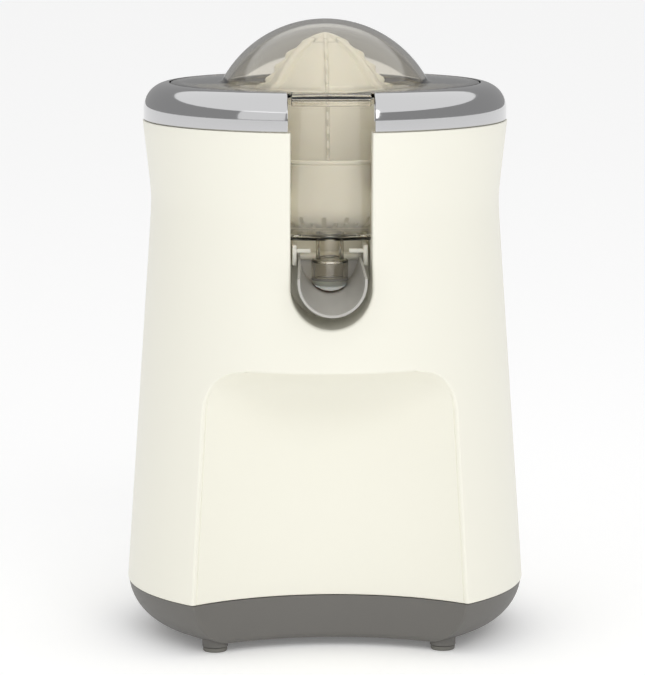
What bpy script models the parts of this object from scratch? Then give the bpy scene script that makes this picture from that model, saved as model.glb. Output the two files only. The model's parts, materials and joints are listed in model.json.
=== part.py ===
"""Electric citrus press: housing, drive, bowl, strainer, cone, drip lip and lid.

Metres, +Z up, the front faces -Y, and the origin is on the table under the cone's axis.
Every piece is built in world coordinates. Pieces that move together hang on one empty,
which stands on their joint's axis.
"""

import math

import bmesh
import bpy
from mathutils import Matrix, Vector

# Overall sizes
TABLE_GAP = 0.004
BASE_TOP = 0.0253
WAIST_HEIGHT = 0.2140
HOUSING_TOP = 0.2515
RING_HEIGHT = 0.0177
DOME_RISE = 0.0305
FOOT_RADIUS = 0.0975
WAIST_RADIUS = 0.0844
MOUTH_RADIUS = 0.0886

# Clearances and walls
GAP = 0.0003
RUNNING_GAP = 0.0004
SLIDING_GAP = 0.0012
HOUSING_WALL = 0.0025
BASE_WALL = 0.0025
CLEAR_WALL = 0.0022
STRAINER_WALL = 0.0016

# Front recess for the glass
SCOOP_RADIUS = 0.1016
SCOOP_DEPTH = 0.0492
SCOOP_TOP = 0.1390
SCOOP_FILLET = 0.0210

# Window and spout niche
WINDOW_HALF = 0.0190
WINDOW_BOTTOM = 0.1600
NICHE_BACK = 0.0460

# Base and feet
BASE_ARC = 0.0240
FOOT_PAD_RADIUS = 0.0058
FOOT_BOSS_RADIUS = 0.0062
FOOT_PAD_HEIGHT = 0.0022
FRONT_FEET = (0.0548, -0.0547)
REAR_FEET = (0.0548, 0.0600)
BASE_POST_RADIUS = 0.0800
BASE_POST_ANGLES = (30.0, 150.0, 215.0, 325.0)
GLAND_HEIGHT = 0.0152
GLAND_RADIUS = 0.0048
GLAND_BORE = 0.0033

# Deck that carries the bowl
DECK_THICKNESS = 0.0030
DECK_TOP = WAIST_HEIGHT - 0.0148
DECK_BOTTOM = DECK_TOP - DECK_THICKNESS
DECK_SCREW_RADIUS = 0.0785
DECK_SCREW_ANGLES = (45.0, 135.0, 225.0, 315.0)

# Shaft and its tower
SHAFT_RADIUS = 0.0040
SQUARE_HALF = 0.0028
BUSH_WALL = 0.0022
TOWER_WALL = 0.0020
TOWER_RISE = 0.0232
CHIMNEY_RISE = 0.0268
SHAFT_LENGTH = 0.1000
SHAFT_TRAVEL = 0.0025
SPRING_WIRE = 0.0005
SPRING_TURNS = 4

# Bowl, strainer, cone and lid
RING_WALL = 0.0015
RING_BEND = 0.0125
RING_SKIRT = 0.0010
BOWL_FLOOR = 0.0025
BOWL_BEND = 0.0060
LID_PLATE = 0.0030
DOME_BASE_RADIUS = 0.0505
DOME_WALL = 0.0023
TAB_HALF = 0.0185
TAB_REACH = 0.0100
STRAINER_DEPTH = 0.0327
STRAINER_RIM_RADIUS = 0.0660
STRAINER_BEND = 0.0120
STRAINER_TAPER = 0.0030
SLOT_COUNT = 24
SLOT_WIDTH = 0.0022
CONE_RADIUS = 0.0420
CONE_HEIGHT = 0.0665
CONE_WALL = 0.0024
CONE_RIBS = (0.0, 52.5, 90.0, 127.5, 180.0, 232.5, 270.0, 307.5)
RIB_RISE = 0.0030

# Outlet, yoke and drip lip
OUTLET_RADIUS = 0.0087
OUTLET_WALL = 0.0018
NECK_RADIUS = 0.0066
SKIRT_HEIGHT = 0.0100
OUTLET_PLACE = 0.0630
OUTLET_DROP = 0.0190
GASKET_HEIGHT = 0.0010
HINGE_PLACE = 0.0515
HINGE_DROP = 0.0092
HINGE_BAR_RADIUS = 0.00175
YOKE_HALF = 0.0178
YOKE_PLATE = 0.0021
STUB_REACH = 0.0090
LIP_HALF = 0.0150
LIP_TIP_HALF = 0.0162
LIP_WALL = 0.0012
LIP_CREST = 0.0700
LIP_FLOOR_DROP = 0.0045
LIP_SLOPE = 16.0
LIP_LIFT = 6.0

# Gear train and motor
MODULE = 0.0010
OUTPUT_TEETH = 60
WHEEL_TEETH = 48
PINION_TEETH = 12
MOTOR_PLACE = 0.0400
GEAR_THICKNESS = 0.0070
PLATE_BOTTOM = 0.1500
PLATE_THICKNESS = 0.0020
STATOR_HALF = 0.0260
STATOR_HEIGHT = 0.0340
ROTOR_RADIUS = 0.0135
AIR_GAP = 0.0008
MOTOR_SHAFT_RADIUS = 0.0025
BOLT_RADIUS = 0.0018

ROUND = 48
MEDIUM = 20
SMALL = 14
TINY = 8

HOUSING_BOTTOM = BASE_TOP + GAP
RING_BOTTOM = HOUSING_TOP + GAP
RING_TOP = HOUSING_TOP + RING_HEIGHT + GAP
RING_RADIUS = MOUTH_RADIUS - 0.0004
RING_BORE = RING_RADIUS - RING_BEND
BOWL_RADIUS = RING_BORE - SLIDING_GAP
BOWL_BOTTOM = DECK_TOP + GAP
LID_BOTTOM = RING_TOP - LID_PLATE
BOWL_TOP = LID_BOTTOM - GAP
TOP = RING_TOP + DOME_RISE
OUTLET_BOTTOM = BOWL_BOTTOM - OUTLET_DROP
HINGE_HEIGHT = BOWL_BOTTOM - HINGE_DROP
BUSH_BORE = SHAFT_RADIUS + RUNNING_GAP
BUSH_RADIUS = BUSH_BORE + BUSH_WALL
TOWER_RADIUS = BUSH_RADIUS + GAP + TOWER_WALL
TOWER_TOP = DECK_TOP + TOWER_RISE
CHIMNEY_BORE = TOWER_RADIUS + SLIDING_GAP
CHIMNEY_RADIUS = CHIMNEY_BORE + TOWER_WALL
CHIMNEY_TOP = DECK_TOP + CHIMNEY_RISE
STRAINER_BOTTOM = BOWL_BOTTOM + BOWL_FLOOR + GAP
STRAINER_TOP = STRAINER_BOTTOM + STRAINER_DEPTH + 0.0017
CONE_BOTTOM = CHIMNEY_TOP + 0.0017
CONE_TOP = CONE_BOTTOM + CONE_HEIGHT
SHAFT_BOTTOM = PLATE_BOTTOM - 0.0040
SHAFT_TOP = SHAFT_BOTTOM + SHAFT_LENGTH
PLATE_TOP = PLATE_BOTTOM + PLATE_THICKNESS
OUTPUT_RADIUS = MODULE * OUTPUT_TEETH / 2
WHEEL_RADIUS = MODULE * WHEEL_TEETH / 2
PINION_RADIUS = MODULE * PINION_TEETH / 2
OUTPUT_CENTRES = OUTPUT_RADIUS + PINION_RADIUS
WHEEL_CENTRES = WHEEL_RADIUS + PINION_RADIUS
MOTOR_AXIS = (0.0, MOTOR_PLACE)
LAYSHAFT_Y = (OUTPUT_CENTRES**2 - WHEEL_CENTRES**2 + MOTOR_PLACE**2) / (2 * MOTOR_PLACE)
LAYSHAFT_AXIS = (math.sqrt(OUTPUT_CENTRES**2 - LAYSHAFT_Y**2), LAYSHAFT_Y)


def clear_scene():
    for old in list(bpy.data.objects):
        bpy.data.objects.remove(old, do_unlink=True)


def material(name, colour, roughness, metallic=0.0, transmission=0.0):
    finish = bpy.data.materials.new(name)
    finish.use_nodes = True
    shader = finish.node_tree.nodes["Principled BSDF"]
    shader.inputs["Base Color"].default_value = (*colour, 1.0)
    shader.inputs["Roughness"].default_value = roughness
    shader.inputs["Metallic"].default_value = metallic
    shader.inputs["Transmission Weight"].default_value = transmission
    finish.diffuse_color = (*colour, 1.0)
    return finish


def finish_mesh(name, mesh, finish=None, recalculate=True):
    """Turns a bmesh into a named object in the scene."""
    if recalculate:
        bmesh.ops.recalc_face_normals(mesh, faces=mesh.faces)
    data = bpy.data.meshes.new(name)
    mesh.to_mesh(data)
    mesh.free()
    piece = bpy.data.objects.new(name, data)
    bpy.context.collection.objects.link(piece)
    if finish:
        data.materials.append(finish)
        data.shade_smooth()
        data.set_sharp_from_angle(angle=math.radians(35))
    return piece


def arc(centre, radius, start, end, steps):
    """Points on an arc in (radius, height) or (x, z), angles in degrees from the first axis."""
    points = []
    for step in range(steps + 1):
        angle = math.radians(start + (end - start) * step / steps)
        points.append((centre[0] + radius * math.cos(angle), centre[1] + radius * math.sin(angle)))
    return points


def turn(mesh, outline, steps, centre=(0.0, 0.0)):
    """Adds a closed outline of (radius, height), turned about a vertical axis, to a bmesh."""
    ring = [mesh.verts.new((centre[0] + radius, centre[1], height)) for radius, height in outline]
    edges = []
    for first, second in zip(ring, ring[1:] + ring[:1]):
        on_axis = abs(first.co.x - centre[0]) + abs(second.co.x - centre[0]) < 1e-9
        if not on_axis:
            edges.append(mesh.edges.new((first, second)))
    bmesh.ops.spin(
        mesh,
        geom=ring + edges,
        cent=(centre[0], centre[1], 0.0),
        axis=(0.0, 0.0, 1.0),
        angle=math.tau,
        steps=steps,
        use_merge=True,
    )
    bmesh.ops.remove_doubles(mesh, verts=mesh.verts, dist=1e-6)


def turned(name, outline, finish=None, steps=ROUND, centres=((0.0, 0.0),)):
    mesh = bmesh.new()
    for centre in centres:
        turn(mesh, outline, steps, centre)
    return finish_mesh(name, mesh, finish)


def turned_each(stem, outline, finish, steps, centres):
    """The same turned piece at each centre, as numbered objects."""
    return [
        turned(f"{stem}_{number}", outline, finish, steps, (centre,))
        for number, centre in enumerate(centres, 1)
    ]


def tube_outline(bore, radius, bottom, top):
    return [(radius, top), (bore, top), (bore, bottom), (radius, bottom)]


def rod_outline(radius, bottom, top):
    return [(0.0, top), (0.0, bottom), (radius, bottom), (radius, top)]


def screw_outline(head_radius, shank_radius, head_bottom, head_top, tip):
    """A pan-head screw whose head is below its shank; swap signs of the heights to turn it over."""
    return [
        (0.0, head_bottom),
        (head_radius, head_bottom),
        (head_radius, head_top),
        (shank_radius, head_top),
        (shank_radius, tip),
        (0.0, tip),
    ]


def add_prism(mesh, outline, low, high, axis="Z"):
    """Adds a straight prism; the outline lies across the axis, as (x, y), (x, z) or (y, z)."""
    places = {
        "Z": lambda u, v, w: (u, v, w),
        "Y": lambda u, v, w: (u, w, v),
        "X": lambda u, v, w: (w, u, v),
    }
    corners = [mesh.verts.new(places[axis](u, v, low)) for u, v in outline]
    face = mesh.faces.new(corners)
    swept = bmesh.ops.extrude_face_region(mesh, geom=[face])
    moved = [item for item in swept["geom"] if isinstance(item, bmesh.types.BMVert)]
    step = Vector(places[axis](0.0, 0.0, high - low))
    bmesh.ops.translate(mesh, verts=moved, vec=step)


def prism(name, outline, low, high, axis="Z", finish=None):
    mesh = bmesh.new()
    add_prism(mesh, outline, low, high, axis)
    return finish_mesh(name, mesh, finish)


def add_block(mesh, low, high, spin=0.0):
    """Adds a box between two corners, turned by an angle in degrees about the origin's axis."""
    size = Vector(high) - Vector(low)
    middle = (Vector(high) + Vector(low)) / 2
    place = Matrix.Rotation(math.radians(spin), 4, "Z") @ Matrix.Translation(middle)
    bmesh.ops.create_cube(mesh, size=1.0, matrix=place @ Matrix.Diagonal((*size, 1.0)))


def block(name, low, high, finish=None):
    mesh = bmesh.new()
    add_block(mesh, low, high)
    return finish_mesh(name, mesh, finish)


def spokes(name, angles, inner, outer, width, bottom, top, finish=None):
    """Boxes that point outwards from the axis."""
    mesh = bmesh.new()
    for angle in angles:
        add_block(mesh, (inner, -width / 2, bottom), (outer, width / 2, top), angle)
    return finish_mesh(name, mesh, finish)


def around(radius, angles):
    points = []
    for angle in angles:
        turned_by = math.radians(angle)
        points.append((radius * math.cos(turned_by), radius * math.sin(turned_by)))
    return points


def combine(piece, tool, operation):
    """Leaves a Boolean on the piece and hides the tool that it uses."""
    change = piece.modifiers.new(operation.title(), "BOOLEAN")
    change.operation = operation
    change.solver = "EXACT"
    change.object = tool
    tool.hide_render = True
    tool.display_type = "WIRE"


def cut(piece, tool):
    combine(piece, tool, "DIFFERENCE")


def add(piece, tool):
    combine(piece, tool, "UNION")


def empty(name, place, parent=None):
    holder = bpy.data.objects.new(name, None)
    holder.empty_display_size = 0.01
    bpy.context.collection.objects.link(holder)
    holder["place"] = place
    holder.parent = parent
    holder.location = Vector(place) - (Vector(parent["place"]) if parent else Vector())
    return holder


def hang(holder, *pieces):
    """Parents pieces to an empty and moves their own origins onto it."""
    for piece in pieces:
        piece.data.transform(Matrix.Translation(-Vector(holder["place"])))
        piece.parent = holder


def hull_outline(circles, steps=24):
    """The convex outline round circles given as (x, y, radius)."""
    mesh = bmesh.new()
    for x, y, radius in circles:
        for angle in range(steps):
            turned_by = math.tau * angle / steps
            mesh.verts.new((x + radius * math.cos(turned_by), y + radius * math.sin(turned_by), 0.0))
    points = sorted({(round(v.co.x, 7), round(v.co.y, 7)) for v in mesh.verts})
    mesh.free()
    return half_hull(points) + half_hull(points[::-1])


def half_hull(points):
    kept = []
    for point in points:
        while len(kept) > 1 and turns_right(kept[-2], kept[-1], point):
            kept.pop()
        kept.append(point)
    return kept[:-1]


def turns_right(first, second, third):
    across = (second[0] - first[0]) * (third[1] - first[1])
    along = (second[1] - first[1]) * (third[0] - first[0])
    return across - along <= 1e-12


# Housing


def housing_outline(inset, bottom, top):
    """The housing's turned outline, moved inwards by a wall and closed on the axis."""
    flare = (MOUTH_RADIUS - WAIST_RADIUS) / (HOUSING_TOP - WAIST_HEIGHT)
    splay = (FOOT_RADIUS - WAIST_RADIUS) / (WAIST_HEIGHT - HOUSING_BOTTOM)
    return [
        (0.0, top),
        (0.0, bottom),
        (WAIST_RADIUS + splay * (WAIST_HEIGHT - bottom) - inset, bottom),
        (WAIST_RADIUS - inset, WAIST_HEIGHT),
        (WAIST_RADIUS + flare * (top - WAIST_HEIGHT) - inset, top),
    ]


def scoop_cutter(name, grow):
    """The round-shouldered column that scoops the front out for the glass."""
    axis_y = -(SCOOP_RADIUS + SCOOP_DEPTH - 0.0009)
    fillet = SCOOP_FILLET + grow
    radius = SCOOP_RADIUS + grow
    top = SCOOP_TOP + grow
    shoulder = arc((radius - fillet, top - fillet), fillet, 0, 90, 4)
    outline = [(0.0, top), (0.0, -0.01), (radius, -0.01)] + shoulder
    return turned(name, outline, steps=64, centres=((0.0, axis_y),))


def window_outline(grow, top):
    """The U of the window, as (x, z)."""
    half = WINDOW_HALF + grow
    middle = WINDOW_BOTTOM + WINDOW_HALF
    return [(half, top)] + arc((0.0, middle), half, 0, -180, 12) + [(-half, top)]


def make_housing(finish):
    above = RING_TOP + 0.01
    housing = turned("housing", housing_outline(0.0, HOUSING_BOTTOM, HOUSING_TOP), finish)
    inside = turned("housing_inside", housing_outline(HOUSING_WALL, -0.01, above))
    cut(inside, scoop_cutter("scoop_kept", HOUSING_WALL))
    niche = prism("niche_kept", window_outline(HOUSING_WALL, above), -0.12, HOUSING_WALL - NICHE_BACK, "Y")
    cut(inside, niche)
    deck_posts = spokes(
        "deck_posts", DECK_SCREW_ANGLES, DECK_SCREW_RADIUS - 0.0040, WAIST_RADIUS + 0.0006, 0.009,
        DECK_BOTTOM - 0.0200, DECK_BOTTOM - GAP,
    )
    cut(inside, deck_posts)
    base_posts = spokes(
        "base_posts", BASE_POST_ANGLES, BASE_POST_RADIUS - 0.0045, FOOT_RADIUS - 0.0018, 0.009,
        HOUSING_BOTTOM - 0.01, HOUSING_BOTTOM + 0.0340,
    )
    cut(inside, base_posts)
    cut(housing, scoop_cutter("scoop_front", 0.0))
    cut(housing, inside)
    cut(housing, prism("window_cut", window_outline(0.0, above), -0.12, -NICHE_BACK, "Y"))
    well_radius = RING_BORE + 0.0005
    cut(housing, turned("bowl_well", rod_outline(well_radius, DECK_TOP, above)))
    pilot = rod_outline(BOLT_RADIUS, DECK_BOTTOM - 0.0140, DECK_TOP)
    cut(housing, turned("deck_pilots", pilot, None, TINY, around(DECK_SCREW_RADIUS, DECK_SCREW_ANGLES)))
    pilot = rod_outline(BOLT_RADIUS, HOUSING_BOTTOM - 0.01, HOUSING_BOTTOM + 0.0170)
    cut(housing, turned("base_pilots", pilot, None, TINY, around(BASE_POST_RADIUS, BASE_POST_ANGLES)))
    return housing


def make_chrome_ring(finish):
    bend_centre = (RING_BORE, RING_TOP - RING_BEND)
    skirt = RING_TOP - RING_BEND - RING_SKIRT
    outline = [(RING_RADIUS, RING_BOTTOM)]
    outline += arc(bend_centre, RING_BEND, 0, 90, 5)
    outline += [(RING_BORE, skirt), (RING_BORE + RING_WALL, skirt)]
    inner = arc(bend_centre, RING_BEND - RING_WALL, 80, 0, 3)
    outline += inner + [(RING_RADIUS - RING_WALL, RING_BOTTOM)]
    ring = turned("chrome_ring", outline, finish)
    gate = WINDOW_HALF + SLIDING_GAP
    cut(ring, block("ring_gate", (-gate, -0.12, RING_BOTTOM - 0.01), (gate, -0.05, RING_TOP + 0.01)))
    return ring


# Base and feet


def base_arc(inset):
    """The rounded side of the base, from its flat bottom to its rim, as (radius, height)."""
    middle_height = TABLE_GAP + BASE_ARC
    reach = math.sqrt(BASE_ARC**2 - (middle_height - BASE_TOP) ** 2)
    middle = (FOOT_RADIUS - 0.0005 - reach, middle_height)
    rim_angle = -math.degrees(math.acos(reach / BASE_ARC))
    return arc(middle, BASE_ARC - inset, -90, rim_angle, 4)


def make_base(finish):
    side = base_arc(0.0)
    base = turned("base", [(0.0, BASE_TOP), (0.0, TABLE_GAP)] + side, finish)
    boss = rod_outline(FOOT_BOSS_RADIUS, FOOT_PAD_HEIGHT + GAP, TABLE_GAP + 0.006)
    add(base, turned("foot_bosses", boss, None, SMALL, foot_places()))
    hollow = turned("base_hollow", [(0.0, BASE_TOP + 0.01), (0.0, TABLE_GAP + BASE_WALL)]
                    + base_arc(BASE_WALL) + [(base_arc(BASE_WALL)[-1][0], BASE_TOP + 0.01)])
    cut(hollow, scoop_cutter("scoop_base_kept", BASE_WALL))
    posts = rod_outline(0.0050, TABLE_GAP - 0.002, BASE_TOP + 0.02)
    post_places = around(BASE_POST_RADIUS, BASE_POST_ANGLES)
    cut(hollow, turned("base_screw_posts", posts, None, SMALL, post_places))
    cut(base, scoop_cutter("scoop_base", 0.0))
    cut(base, hollow)
    rise = BASE_TOP - GAP
    bore = [(0.0, rise + 0.01), (0.0, -0.01), (0.0036, -0.01), (0.0036, TABLE_GAP + 0.0085),
            (BOLT_RADIUS, TABLE_GAP + 0.0085), (BOLT_RADIUS, rise + 0.01)]
    cut(base, turned("base_screw_bores", bore, None, TINY, post_places))
    stem = rod_outline(0.0032, -0.01, TABLE_GAP + 0.02)
    cut(base, turned("foot_stem_bores", stem, None, TINY, foot_places()))
    gland_hole = cylinder_along_y(
        "gland_hole", GLAND_RADIUS + GAP, GLAND_HEIGHT, FOOT_RADIUS - 0.03, FOOT_RADIUS + 0.01
    )
    cut(base, gland_hole)
    return base


def foot_places():
    return (
        (-FRONT_FEET[0], FRONT_FEET[1]),
        FRONT_FEET,
        (-REAR_FEET[0], REAR_FEET[1]),
        REAR_FEET,
    )


def make_feet(finish):
    names = ("foot_front_left", "foot_front_right", "foot_rear_left", "foot_rear_right")
    outline = [(0.0, 0.0), (FOOT_PAD_RADIUS, 0.0), (FOOT_PAD_RADIUS, FOOT_PAD_HEIGHT),
               (0.0029, FOOT_PAD_HEIGHT), (0.0029, TABLE_GAP + 0.0055), (0.0, TABLE_GAP + 0.0055)]
    return [turned(name, outline, finish, SMALL, (place,)) for name, place in zip(names, foot_places())]


def make_base_screws(finish):
    head = TABLE_GAP + 0.0085 - GAP
    outline = screw_outline(0.0031, 0.0014, head - 0.0020, head, HOUSING_BOTTOM + 0.0150)
    return turned_each("base_screw", outline, finish, TINY, around(BASE_POST_RADIUS, BASE_POST_ANGLES))


def cylinder_along_y(name, radius, height, near, far, finish=None, x=0.0, steps=SMALL):
    outline = arc((x, height), radius, 0, 360 - 360 / steps, steps - 1)
    return prism(name, outline, near, far, "Y", finish)


def make_cord_gland(finish):
    """A grommet with a collar on each side of the rear wall, bored for a cord."""
    middle_height = TABLE_GAP + BASE_ARC
    rim = base_arc(0.0)[-1][0]
    middle = rim - math.sqrt(BASE_ARC**2 - (middle_height - BASE_TOP) ** 2)
    collar = GLAND_RADIUS + 0.0012
    above = middle_height - GLAND_HEIGHT - collar
    below = middle_height - GLAND_HEIGHT + collar
    wall_out = middle + math.sqrt(BASE_ARC**2 - above**2) + GAP
    inner_reach = middle + math.sqrt((BASE_ARC - BASE_WALL) ** 2 - below**2)
    wall_in = math.sqrt(inner_reach**2 - collar**2) - 3 * GAP
    gland = cylinder_along_y(
        "cord_gland", GLAND_RADIUS, GLAND_HEIGHT, wall_in - 0.003, wall_out + 0.001, finish
    )
    add(gland, cylinder_along_y("gland_collar", collar, GLAND_HEIGHT, wall_out, FOOT_RADIUS + 0.0005))
    add(gland, cylinder_along_y("gland_stop", collar, GLAND_HEIGHT, wall_in - 0.004, wall_in))
    cut(gland, cylinder_along_y("gland_bore", GLAND_BORE, GLAND_HEIGHT, wall_in - 0.01, FOOT_RADIUS + 0.01))
    return gland


# Deck, shaft and their bearings


def deck_radius():
    return WAIST_RADIUS - HOUSING_WALL - GAP


def make_deck(finish):
    ledge = TOWER_TOP - 0.0140
    outline = [
        (deck_radius(), DECK_TOP),
        (TOWER_RADIUS, DECK_TOP),
        (TOWER_RADIUS, TOWER_TOP),
        (BUSH_RADIUS + GAP, TOWER_TOP),
        (BUSH_RADIUS + GAP, ledge),
        (BUSH_BORE + 0.0006, ledge),
        (BUSH_BORE + 0.0006, DECK_BOTTOM),
        (deck_radius(), DECK_BOTTOM),
    ]
    deck = turned("drive_deck", outline, finish)
    half = WINDOW_HALF + HOUSING_WALL + GAP
    notch = block("deck_notch", (-half, -0.12, DECK_BOTTOM - 0.01),
                  (half, HOUSING_WALL + GAP - NICHE_BACK, DECK_TOP + 0.01))
    cut(deck, notch)
    hole = rod_outline(BOLT_RADIUS, DECK_BOTTOM - 0.01, DECK_TOP + 0.01)
    cut(deck, turned("deck_holes", hole, None, TINY, around(DECK_SCREW_RADIUS, DECK_SCREW_ANGLES)))
    blind = rod_outline(BOLT_RADIUS, DECK_BOTTOM - 0.01, DECK_TOP - 0.0008)
    cut(deck, turned("deck_blind_holes", blind, None, TINY, case_posts()))
    return deck


def make_deck_screws(finish):
    head = DECK_TOP + GAP
    outline = screw_outline(0.0028, 0.0014, head + 0.0018, head, DECK_BOTTOM - 0.0120)
    return turned_each("deck_screw", outline, finish, TINY, around(DECK_SCREW_RADIUS, DECK_SCREW_ANGLES))


def make_upper_bush(finish):
    bottom = TOWER_TOP - 0.0140 + GAP
    return turned("upper_bush", tube_outline(BUSH_BORE, BUSH_RADIUS, bottom, bottom + 0.0100), finish, MEDIUM)


def make_shaft_seal(finish):
    bottom = TOWER_TOP - 0.0140 + GAP + 0.0103
    lip = SHAFT_RADIUS + GAP
    outline = [(BUSH_RADIUS, bottom), (BUSH_RADIUS, TOWER_TOP - GAP), (lip + 0.0008, TOWER_TOP + 0.0002),
               (lip, TOWER_TOP), (lip, TOWER_TOP - 0.0014), (lip + 0.0010, bottom)]
    return turned("shaft_seal", outline, finish, MEDIUM)


def square_outline(half, x=0.0, y=0.0):
    return [(x - half, y - half), (x + half, y - half), (x + half, y + half), (x - half, y + half)]


def make_drive_shaft(finish):
    """Round where it runs in its bush, square where it drives the cone and slides in the gear."""
    round_bottom = spring_top() + GAP
    round_top = TOWER_TOP + 0.0040
    shaft = turned("drive_shaft", rod_outline(SHAFT_RADIUS, round_bottom, round_top), finish, MEDIUM)
    add(shaft, prism("shaft_square", square_outline(SQUARE_HALF), SHAFT_BOTTOM, SHAFT_TOP))
    return shaft


def spring_top():
    return DECK_BOTTOM - 0.0072


def spring_bottom():
    return output_bottom() + GEAR_THICKNESS + 0.0035 + GAP


def make_shaft_collar(finish):
    outline = tube_outline(SHAFT_RADIUS + GAP, 0.0072, spring_top() + 0.0001, spring_top() + 0.0021)
    return turned("shaft_collar", outline, finish, MEDIUM)


def make_return_spring(finish):
    """A coil spring, spun up from a circle of wire."""
    mesh = bmesh.new()
    coil_radius = 0.0060
    steps_per_turn = 12
    low = spring_bottom() + SPRING_WIRE
    high = spring_top() - GAP - SPRING_WIRE
    place = Matrix.Translation((coil_radius, 0.0, low)) @ Matrix.Rotation(math.radians(90), 4, "X")
    made = bmesh.ops.create_circle(mesh, cap_ends=False, radius=SPRING_WIRE, segments=6, matrix=place)
    section = made["verts"]
    edges = list({edge for vert in section for edge in vert.link_edges})
    steps = SPRING_TURNS * steps_per_turn
    bmesh.ops.spin(mesh, geom=section + edges, cent=(0.0, 0.0, 0.0), axis=(0.0, 0.0, 1.0),
                   dvec=(0.0, 0.0, (high - low) / steps), angle=math.tau * SPRING_TURNS, steps=steps)
    bmesh.ops.remove_doubles(mesh, verts=mesh.verts, dist=1e-7)
    open_edges = [edge for edge in mesh.edges if edge.is_boundary]
    bmesh.ops.holes_fill(mesh, edges=open_edges, sides=0)
    return finish_mesh("return_spring", mesh, finish)


# Gear train


def gear_outline(teeth, centre, phase):
    """Straight-flanked teeth with play between them, as points round a centre."""
    pitch = math.tau / teeth
    root = MODULE * (teeth / 2 - 1.15)
    tip = MODULE * (teeth / 2 + 0.80)
    points = []
    for tooth in range(teeth):
        middle = phase + tooth * pitch
        for radius, share in ((root, -0.33), (tip, -0.13), (tip, 0.13), (root, 0.33)):
            angle = middle + share * pitch
            points.append((centre[0] + radius * math.cos(angle), centre[1] + radius * math.sin(angle)))
    return points


def output_bottom():
    return PLATE_TOP + 0.0130


def layshaft_angle():
    return math.atan2(LAYSHAFT_AXIS[1], LAYSHAFT_AXIS[0])


def motor_angle():
    """The direction from the layshaft to the motor."""
    return math.atan2(MOTOR_PLACE - LAYSHAFT_AXIS[1], -LAYSHAFT_AXIS[0])


def hub_radius():
    return 0.0085


def make_output_gear(finish):
    bottom = output_bottom()
    teeth = gear_outline(OUTPUT_TEETH, (0.0, 0.0), layshaft_angle())
    gear = prism("output_gear", teeth, bottom, bottom + GEAR_THICKNESS, "Z", finish)
    journal = hub_radius() - 0.0015
    hub = [(0.0, bottom + GEAR_THICKNESS + 0.0035), (0.0, PLATE_BOTTOM - 0.0015),
           (journal, PLATE_BOTTOM - 0.0015),
           (journal, PLATE_TOP + 0.0015), (hub_radius(), PLATE_TOP + 0.0015),
           (hub_radius(), bottom + GEAR_THICKNESS + 0.0035)]
    add(gear, turned("output_hub", hub, steps=MEDIUM))
    bore = prism("output_bore", square_outline(SQUARE_HALF + GAP), SHAFT_BOTTOM - 0.01, SHAFT_TOP)
    cut(gear, bore)
    return gear


def make_lower_bush(finish):
    bore = hub_radius() - 0.0015 + GAP
    outline = [
        (bore, PLATE_TOP + 0.0012),
        (bore, PLATE_BOTTOM - 0.0010),
        (bore + 0.0022, PLATE_BOTTOM - 0.0010),
        (bore + 0.0022, PLATE_TOP + GAP),
        (bore + 0.0047, PLATE_TOP + GAP),
        (bore + 0.0047, PLATE_TOP + 0.0012),
    ]
    return turned("lower_bush", outline, finish, MEDIUM)


def make_intermediate_gear(finish):
    wheel_bottom = PLATE_TOP + 0.0035
    wheel_top = wheel_bottom + 0.0050
    wheel = gear_outline(WHEEL_TEETH, LAYSHAFT_AXIS, motor_angle())
    gear = prism("intermediate_gear", wheel, wheel_bottom, wheel_top, "Z", finish)
    phase = layshaft_angle() + math.pi + math.pi / PINION_TEETH
    pinion = gear_outline(PINION_TEETH, LAYSHAFT_AXIS, phase)
    pinion_top = output_bottom() + GEAR_THICKNESS + 0.0015
    add(gear, prism("intermediate_pinion", pinion, wheel_top - 0.001, pinion_top))
    bore = rod_outline(MOTOR_SHAFT_RADIUS + GAP, wheel_bottom - 0.01, pinion_top + 0.01)
    cut(gear, turned("intermediate_bore", bore, None, SMALL, (LAYSHAFT_AXIS,)))
    return gear


def axle_top():
    return output_bottom() + GEAR_THICKNESS + 0.0110


def make_intermediate_axle(finish):
    outline = [(0.0, axle_top()), (0.0, PLATE_BOTTOM - 0.0018), (0.0042, PLATE_BOTTOM - 0.0018),
               (0.0042, PLATE_BOTTOM - GAP), (MOTOR_SHAFT_RADIUS, PLATE_BOTTOM - GAP),
               (MOTOR_SHAFT_RADIUS, axle_top())]
    return turned("intermediate_axle", outline, finish, SMALL, (LAYSHAFT_AXIS,))


def case_circles(inset=0.0):
    """Room for each gear inside the gearbox case, as (x, y, radius)."""
    return (
        (0.0, 0.0, OUTPUT_RADIUS + 0.0055 - inset),
        (*LAYSHAFT_AXIS, WHEEL_RADIUS + 0.0055 - inset),
        (*MOTOR_AXIS, PINION_RADIUS + 0.0080 - inset),
    )


def case_posts():
    """Centres of the three screw posts on the outside of the case."""
    output, layshaft, motor = case_circles()
    reach = 0.0025
    places = []
    for (x, y, radius), angle in ((output, 200.0), (layshaft, 350.0), (motor, 120.0)):
        direction = math.radians(angle)
        away = radius + reach
        places.append((x + away * math.cos(direction), y + away * math.sin(direction)))
    return places


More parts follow.
